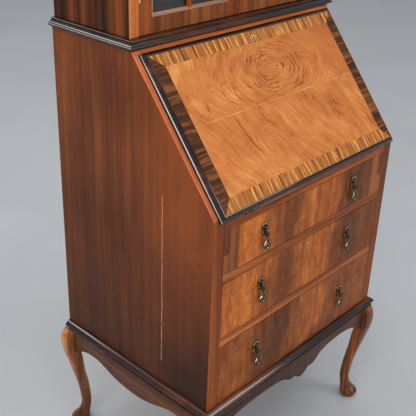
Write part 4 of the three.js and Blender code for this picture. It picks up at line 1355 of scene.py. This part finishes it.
def plate_relief():
    pairs = [
        (scroll((5.6, -5.2), 4.4, 118, -300, 0.72), -2.3, 1.15, 0.5),
        (scroll((5.0, -22.0), 3.6, -120, 290, 0.72), -2.3, 1.1, 0.5),
        ([(10.2, -7.0), (10.3, -10), (9.0, -13), (6.8, -15.6), (7.0, -18.4)], -2.1, 0.6, 1.0),
    ]
    crest = [(x, -2.4, z) for x, z in arc((0, -3.4), 3.2, 20, 160, 8)]
    leaf = [(0, -2.6, 0.0), (0, -3.0, -2.2), (0, -2.8, -4.6)]
    return relief_mesh("handle_relief", pairs, [(crest, [1.2] * len(crest)), (leaf, [0.7, 1.1, 0.6])])


def drop_relief():
    stem = [(1.6, -27.5), (2.4, -32), (3.6, -36.4), (5.6, -40), (8.0, -43.4), (10.2, -46.6)]
    curl = scroll((8.4, -47.6), 2.6, 40, 250, 0.7, 10)
    leaf = [(1.0, -42.2), (2.6, -45.2), (3.2, -48.6), (2.6, -52.6), (1.0, -56)]
    pairs = [(stem, DROP_FACE, 0.9, 1.25), (curl, DROP_FACE, 1.05, 0.45), (leaf, DROP_FACE, 0.7, 1.1)]
    spine = [(0, DROP_FACE - 0.2, -40.4), (0, DROP_FACE - 0.8, -44), (0, DROP_FACE - 0.3, -47.4)]
    tip = [(0, DROP_FACE, -53.5), (0, DROP_FACE - 0.4, -56.5), (0, DROP_FACE + 0.6, -59.6)]
    return relief_mesh("drop_relief", pairs, [(spine, [0.7, 1.5, 0.6]), (tip, [0.7, 1.6, 0.7])])


def handle_plate_mesh():
    """The back plate: a shaped casting with a boss, two posts and the pin that the drop hangs on."""
    flat = outline_mesh("handle_plate", [mirrored_outline(PLATE_RIGHT)], 1.9, 0.7, BRONZE)
    flat.transform(Matrix.Translation(own(0, -0.3, 0)) @ FACING_FRONT)
    bm = bmesh.new()
    boss = [(1.2, -1.6), (4.6, -1.7), (5.5, -3.2), (5.4, -4.4), (4.2, -6.0), (2.6, -6.9), (0.8, -7.3)]
    turned(bm, boss, (0, 0, -11), "y")
    for post_x in (-POST_X, POST_X):
        turned(bm, [(0.6, -1.1), (2.4, -0.9), (2.4, 0.9), (0.6, 1.1)], (post_x, *PIVOT), "x", 14)
        tube(bm, [(post_x, -1.4, -21.5), (post_x, -5.5, -22.4), (post_x, -8.6, -24.2)], [1.7, 1.5, 1.2])
    turned(bm, [(1.0, -5.8), (1.05, 0), (1.0, 5.8)], (0, *PIVOT), "x", 12)
    fittings = shaded(bm, "handle_fittings", [BRONZE], 50)
    return joined("handle_plate_cast", [flat, fittings], plate_relief())


def handle_drop_mesh():
    """The pierced drop and the eye that it hangs by."""
    flat = outline_mesh("handle_drop", [mirrored_outline(DROP_RIGHT)] + DROP_OPENINGS, 2.4, 0.75, BRONZE)
    flat.transform(Matrix.Translation(own(0, 1.2 - PIVOT_OUT, 0)) @ FACING_FRONT)
    bm = bmesh.new()
    eye = [(1.5, -2.4), (2.9, -2.5), (3.3, -1.2), (3.3, 1.2), (2.9, 2.5), (1.5, 2.4)]
    turned(bm, eye, (0, *PIVOT), "x", 16)
    return joined("handle_drop_cast", [flat, shaded(bm, "drop_eye", [BRONZE], 50)], drop_relief())


def make_handles():
    castings = {"plate": handle_plate_mesh(), "drop": handle_drop_mesh()}
    for level in LEVELS:
        for side, sign in SIDES:
            plate_x, plate_y, plate_z = limits(f"handle_plate_{level}_{side}")
            bodies = {"plate": f"drawer_{level}", "drop": f"drop_{level}_{side}"}
            for kind, mesh in castings.items():
                node = f"handle_{kind}_{level}_{side}"
                piece = link(f"{node}_cast", mesh)
                piece.location = at((plate_x[0] + plate_x[1]) / 2, 0, plate_z[1])
                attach(piece, bodies[kind])
                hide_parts(node)


# ---------------------------------------------------------------- fittings behind the fall

VALANCE_DEPTH = 17
KNOB = 5.5


def make_valance(name, x, top, y):
    """A small shaped curtain board at the top of a pigeonhole."""
    middle, half = (x[0] + x[1]) / 2, (x[1] - x[0]) / 2 - 0.2
    deep = VALANCE_DEPTH
    shoulder = (half * 0.38, -deep * 0.4)
    right = [(half, 0), (half, -deep)]
    right += bezier((half, -deep), (half * 0.72, -deep), (half * 0.7, -deep * 0.35), shoulder, 8)
    right += bezier(shoulder, (half * 0.2, -deep * 0.42), (half * 0.14, -deep * 0.7), (0, -deep * 0.72), 6)
    outline = right + [(-a, b) for a, b in reversed(right[:-1])]
    matrix = Matrix.Translation(at(middle, y + 6, top)) @ FACING_FRONT
    plate(name, [outline], 4, 0.5, INNER, matrix, slot="oak")


def make_knob(name, place, body):
    """A turned brass knob, its foot on place."""
    shape = [(0.75, 0.2), (0.72, -0.8), (0.34, -1.6), (0.3, -4.5), (0.62, -6.2), (1, -8.6)]
    shape += [(0.96, -10.6), (0.6, -12), (0.15, -12.5)]
    bm = bmesh.new()
    turned(bm, [(KNOB * share, along) for share, along in shape], (0, 0, 0), "y", 24)
    mesh = shaded(bm, name, [BRASS], 40)
    mesh.transform(Matrix.Translation(place))
    add_piece(name, mesh, body, "brass")


def make_inner_drawer(body):
    soften(body, OAK_Y, 0.4)
    x, y, z = limits(body)
    face = (x[0] + 0.2, x[1] - 0.2), (y[0] - 0.6, y[0] - 0.05), (z[0] + 0.2, z[1] - 0.2)
    board(f"{body}_veneer", *face, DRAWER, body=body, slot="front_walnut", round_edge=0.25)
    make_knob(f"{body}_knob", at((x[0] + x[1]) / 2, y[0] - 0.6, (z[0] + z[1]) / 2), body)


def make_inner_fittings():
    front = limits("pigeonhole_unit")[1][0]
    soften("pigeonhole_unit", INNER, 0.5)
    for opening in frame["record"]["physics"]["openings"]:
        name, (low, high) = opening["name"], opening["box_m"]
        if "pigeonhole" in name:
            x = (low[0] / MM - 1.1, high[0] / MM + 1.1)
            make_valance(f"valance_{name}", x, high[2] / MM - STAND + 0.9, front)
    for side, sign in SIDES:
        make_inner_drawer(f"inner_drawer_{side}")


# ---------------------------------------------------------------- bookcase

DOOR_FRAME = 33.5
DOOR_TOP_RAIL = 40
GLAZING_BAR = 7.5
GLASS_BACK = 10.4
SHELVES = ("shelf_lower", "shelf_upper")


def cornice_profile(base):
    """A small fillet, a long hollow, a round and a square top edge, up from base."""
    points = [(0.2, 0.2), (1.5, 0.6), (1.5, 5), (4, 6)]
    points += bezier((4, 6), (6, 14), (14, 15), (18.6, 21.5), 8)
    points += [(19, 22.5), (19, 27)]
    points += bezier((19, 27), (22, 27.6), (24.4, 30), (24.4, 34), 6)
    points += [(24.4, 40.5), (23.4, 42), (-20, 43.6)]
    return [(out, base + height) for out, height in points]


def make_cornice():
    x, y, z = limits("bookcase_side_left")
    front, base = y[0], z[1] + 0.3
    rows = board_levels(cornice_profile(base), -x[0], front)
    lofted("cornice_run", rows, EBONY, sharp=38, slot="ebonised_walnut", replaced=["cornice"])
    inner = -x[1] - 0.3
    frieze_z = (limits("door_left")[2][1] + 1.2, base - 0.2)
    board("frieze", (-inner, inner), (front, front + 19), frieze_z, DOOR_RAIL, slot="front_walnut")


def make_bookcase_case():
    for side, sign in SIDES:
        x, y, z = limits(f"bookcase_side_{side}")
        riding = {"slot": "side_walnut", "replaced": [f"bookcase_side_{side}"]}
        board(f"bookcase_panel_{side}", x, (y[0] + LIPPING + SEAM, y[1]), z, RIBBON, **riding)
        stile_y = (y[0], y[0] + LIPPING)
        board(f"bookcase_stile_{side}", x, stile_y, z, EDGE, slot="rail_walnut", round_edge=0.8)
    vertical_boards("bookcase_back", CASE_BACK)
    soften("bookcase_bottom", CASE_INSIDE, 0.6)
    for shelf in SHELVES:
        soften(shelf, CASE_INSIDE, 1.0)
        x, y, z = limits(shelf)
        for side, sign in SIDES:
            cleat_x = ordered(sign * (x[1] - 0.2), sign * (x[1] - 9))
            cleat = cleat_x, (y[0] + 10, y[1] - 4), (z[0] - 12, z[0] - 0.2)
            board(f"{shelf}_cleat_{side}", *cleat, CASE_INSIDE, slot="rail_walnut", round_edge=1.0)


def sight_profile():
    """Moulded inner edge of a door: [inset into the light, y behind the door's face]."""
    points = [(-1.6, 0.2), (-1.6, -0.5), (-0.2, -0.5)]
    points += bezier((-0.2, -0.5), (0.6, -0.3), (0.6, 0.6), (0.8, 2.4), 5)
    points += bezier((0.8, 2.4), (1.0, 5.0), (1.6, 6.8), (2.6, 7.6), 6)
    points += [(2.8, 8.0), (2.8, GLASS_BACK), (-1.6, GLASS_BACK)]
    return points


def bar_profile():
    """Half of a glazing bar: a round astragal in front of the glass."""
    half = GLAZING_BAR / 2
    points = [(-half, GLASS_BACK), (-half, 6.4)]
    points += bezier((-half, 6.4), (-half * 0.7, 5.2), (-half * 0.8, 2.6), (0, 2.4), 6)
    points += bezier((0, 2.4), (half * 0.8, 2.6), (half * 0.7, 5.2), (half, 6.4), 6)
    points.append((half, GLASS_BACK))
    return points


def make_sight_edge(body, front, light_x, light_z):
    rows = []
    for i, k in ((0, 0), (1, 0), (1, 1), (0, 1)):
        out_x, out_z = 1 - 2 * i, 1 - 2 * k
        rows.append([(light_x[i] + out_x * a, front + b, light_z[k] + out_z * a) for a, b in sight_profile()])
    riding = {"body": body, "slot": "front_walnut"}
    lofted(f"{body}_sight_edge", rows, SIGHT, closed=True, sharp=40, **riding)


def make_glazing_bars(body, front, light_x, light_z):
    middle = (light_x[0] + light_x[1]) / 2
    ends_x = (light_x[0] - 0.5, light_x[1] + 0.5)
    ends_z = (light_z[0] - 0.5, light_z[1] + 0.5)
    bm = bmesh.new()
    loft(bm, [[(middle + a, front + b, end) for a, b in bar_profile()] for end in ends_z], at)
    for shelf in SHELVES:
        height = limits(shelf)[2][1]
        loft(bm, [[(end, front + b + 0.05, height + a) for a, b in bar_profile()] for end in ends_x], at)
    name = f"{body}_glazing_bars"
    add_piece(name, shaded(bm, name, [DOOR_STILE], 40), body, "front_walnut")


def make_door(side, sign):
    body = f"door_{side}"
    x, y, z = limits(body)
    inner_x, outer_x = (x[1], x[0]) if sign < 0 else x
    light_x = ordered(inner_x + sign * (DOOR_FRAME - 0.6), outer_x - sign * DOOR_FRAME)
    light_z = (z[0] + DOOR_FRAME - 1, z[1] - DOOR_TOP_RAIL)
    riding = {"body": body, "slot": "front_walnut"}
    stiles = [((x[0], light_x[0]), y, z), ((light_x[1], x[1]), y, z)]
    boards(f"{body}_stiles", stiles, DOOR_STILE, replaced=[body], round_edge=0.5, **riding)
    rail_x = (light_x[0] + 0.08, light_x[1] - 0.08)
    rails = [(rail_x, y, (z[0], light_z[0])), (rail_x, y, (light_z[1], z[1]))]
    boards(f"{body}_rails", rails, DOOR_RAIL, round_edge=0.3, **riding)
    make_sight_edge(body, y[0], light_x, light_z)
    make_glazing_bars(body, y[0], light_x, light_z)
    soften(f"door_glass_{side}", GLASS, 0.2)


def make_door_hinge(name, x, y, z):
    """A brass knuckle with turned ends, upright on the door's axis."""
    half = [(0.5, 30), (1.8, 28.6), (1.3, 27.4), (2.5, 26.6), (2.5, 9), (2.3, 8.8), (2.5, 8.6)]
    profile = [(radius, -along) for radius, along in half] + half[::-1]
    bm = bmesh.new()
    turned(bm, profile, (0, 0, 0), "z", 16)
    mesh = shaded(bm, name, [BRASS], 40)
    mesh.transform(Matrix.Translation((x, y, z)))
    add_piece(name, mesh, slot="brass")


def make_door_fittings():
    x, y, z = limits("door_right")
    bead = [(-2.2, 0.0), (-2.2, -0.4)] + bezier((-2.2, -0.4), (-1.6, -2.2), (1.6, -2.2), (2.2, -0.4), 8)
    bead.append((2.2, 0.0))
    rows = [[(a, y[0] + b - 0.05, height) for a, b in bead] for height in (z[0] + 1, z[1] - 1)]
    lofted("door_meeting_bead", rows, DOOR_STILE, sharp=50, body="door_right", slot="front_walnut")
    lock = Matrix.Translation(at(DOOR_FRAME / 2, y[0] - 0.1, (z[0] + z[1]) / 2)) @ FACING_FRONT
    escutcheon("door_escutcheon", 7, 13, 0.7, lock, "door_right")
    for joint in frame["joints"]:
        for side in ("left", "right"):
            if joint["name"] == f"door_{side}_hinge":
                pivot_x, pivot_y = joint["pos_m"][:2]
                for index, height in enumerate((z[0] + 90, z[1] - 90)):
                    name = f"door_hinge_{side}_{index + 1}"
                    make_door_hinge(name, pivot_x, pivot_y - 0.6 * MM, at(0, 0, height).z)


# ---------------------------------------------------------------- floor, light and camera

FLOOR_SIZE = 40
HORIZON = (0.3, 0.31, 0.325, 1)
ZENITH = (0.62, 0.65, 0.68, 1)
COOL = (0.97, 0.99, 1.0)
NEUTRAL = (0.98, 0.99, 1.0)
WARM = (1.0, 0.99, 0.97)
WHITE = (1.0, 1.0, 1.0)
LIGHT_TARGET = (0, 0, 0.9)
CAMERA_PLACE = (-1.2142, -1.0357, 1.4327)
CAMERA_HEADING = 47.66
CAMERA_DIP = 27.13
CAMERA_ROLL = 2.07
CAMERA_LENS = 66.14
CAMERA_SHIFT = (0.0038, -0.0129)


def make_floor():
    half = FLOOR_SIZE / 2
    mesh = bpy.data.meshes.new("floor")
    corners = [(-half, -half, 0), (half, -half, 0), (half, half, 0), (-half, half, 0)]
    mesh.from_pydata(corners, [], [(0, 1, 2, 3)])
    mesh.materials.append(FLOOR)
    link("floor", mesh)


def make_world():
    """A pale dome, brighter overhead than at the horizon."""
    world = bpy.data.worlds.new("studio")
    bpy.context.scene.world = world
    world.use_nodes = True
    tree = world.node_tree
    split = tree.nodes.new("ShaderNodeSeparateXYZ")
    tree.links.new(tree.nodes.new("ShaderNodeTexCoord").outputs["Generated"], split.inputs[0])
    ramp = tree.nodes.new("ShaderNodeValToRGB")
    for element, colour in zip(ramp.color_ramp.elements, (HORIZON, ZENITH)):
        element.color = colour
    tree.links.new(split.outputs[2], ramp.inputs[0])
    tree.links.new(ramp.outputs[0], tree.nodes["Background"].inputs["Color"])


def soft_light(name, place, size, power, colour, mirrored=True, receivers=()):
    """An area lamp. Polish mirrors it only where mirrored is True. receivers are all that it lights."""
    lamp = bpy.data.lights.new(name, "AREA")
    lamp.shape = "RECTANGLE"
    lamp.size, lamp.size_y = size
    lamp.energy = power
    lamp.color = colour
    holder = link(name, lamp)
    holder.visible_camera = False
    holder.visible_glossy = mirrored
    holder.location = place
    holder.rotation_mode = "QUATERNION"
    holder.rotation_quaternion = (Vector(LIGHT_TARGET) - Vector(place)).to_track_quat("-Z", "Y")
    if receivers:
        lit = bpy.data.collections.new(f"{name}_receivers")
        for piece in receivers:
            lit.objects.link(piece)
        holder.light_linking.receiver_collection = lit


def make_lights():
    soft_light("overhead", (0.0, 0.2, 4.6), (6.0, 6.0), 120, COOL)
    soft_light("front_right", (2.0, -4.2, 2.4), (2.4, 2.0), 92, WARM)
    soft_light("key_left", (-3.1, -1.2, 2.1), (1.5, 1.5), 54, WARM, mirrored=False)
    soft_light("rear_left", (-2.6, 2.2, 3.1), (2.4, 1.2), 45, NEUTRAL, mirrored=False)
    mouldings = [bpy.data.objects[f"{name}_moulding_run"] for name in ("fall", "waist", "base")]
    metals = {BRASS, BRONZE, OLD_BRASS, GILT}
    metalwork = [p for p in bpy.data.objects if p.type == "MESH" and metals & {*p.data.materials}]
    soft_light("edge_left", (-3.05, -1.1, 2.12), (0.8, 1.1), 42, WHITE, receivers=mouldings + metalwork)
    soft_light("edge_rear", (-1.3, 2.3, 2.9), (1.2, 0.9), 24, WHITE, receivers=mouldings)


def make_camera():
    data = bpy.data.cameras.new("camera")
    data.lens = CAMERA_LENS
    data.sensor_width = 36
    data.shift_x, data.shift_y = CAMERA_SHIFT
    data.clip_start, data.clip_end = 0.05, 100
    camera = link("camera", data)
    heading, dip, roll = (math.radians(a) for a in (CAMERA_HEADING, CAMERA_DIP, CAMERA_ROLL))
    forward = Vector((math.sin(heading) * math.cos(dip), math.cos(heading) * math.cos(dip), -math.sin(dip)))
    right = Vector((math.cos(heading), -math.sin(heading), 0))
    up = right.cross(forward)
    image_right = right * math.cos(roll) + up * math.sin(roll)
    image_up = up * math.cos(roll) - right * math.sin(roll)
    turn = Matrix((image_right, image_up, -forward)).transposed().to_4x4()
    camera.matrix_world = Matrix.Translation(CAMERA_PLACE) @ turn
    bpy.context.scene.camera = camera


# ---------------------------------------------------------------- building it all

make_legs()
make_aprons()
make_mouldings()
make_bureau_carcase()
make_fall_board()
make_fall_tongue()
make_fall_moulding()
make_fall_lock()
make_fall_hinges()
make_writing_skin()
for drawer_level in LEVELS:
    for make_part in (make_drawer_front, make_drawer_box, make_drawer_lock):
        make_part(drawer_level, f"drawer_{drawer_level}")
make_handles()
make_inner_fittings()
make_bookcase_case()
make_cornice()
for door_side, door_sign in SIDES:
    make_door(door_side, door_sign)
make_door_fittings()
make_floor()
make_world()
make_lights()
make_camera()
bpy.context.scene.view_settings.view_transform = "Standard"
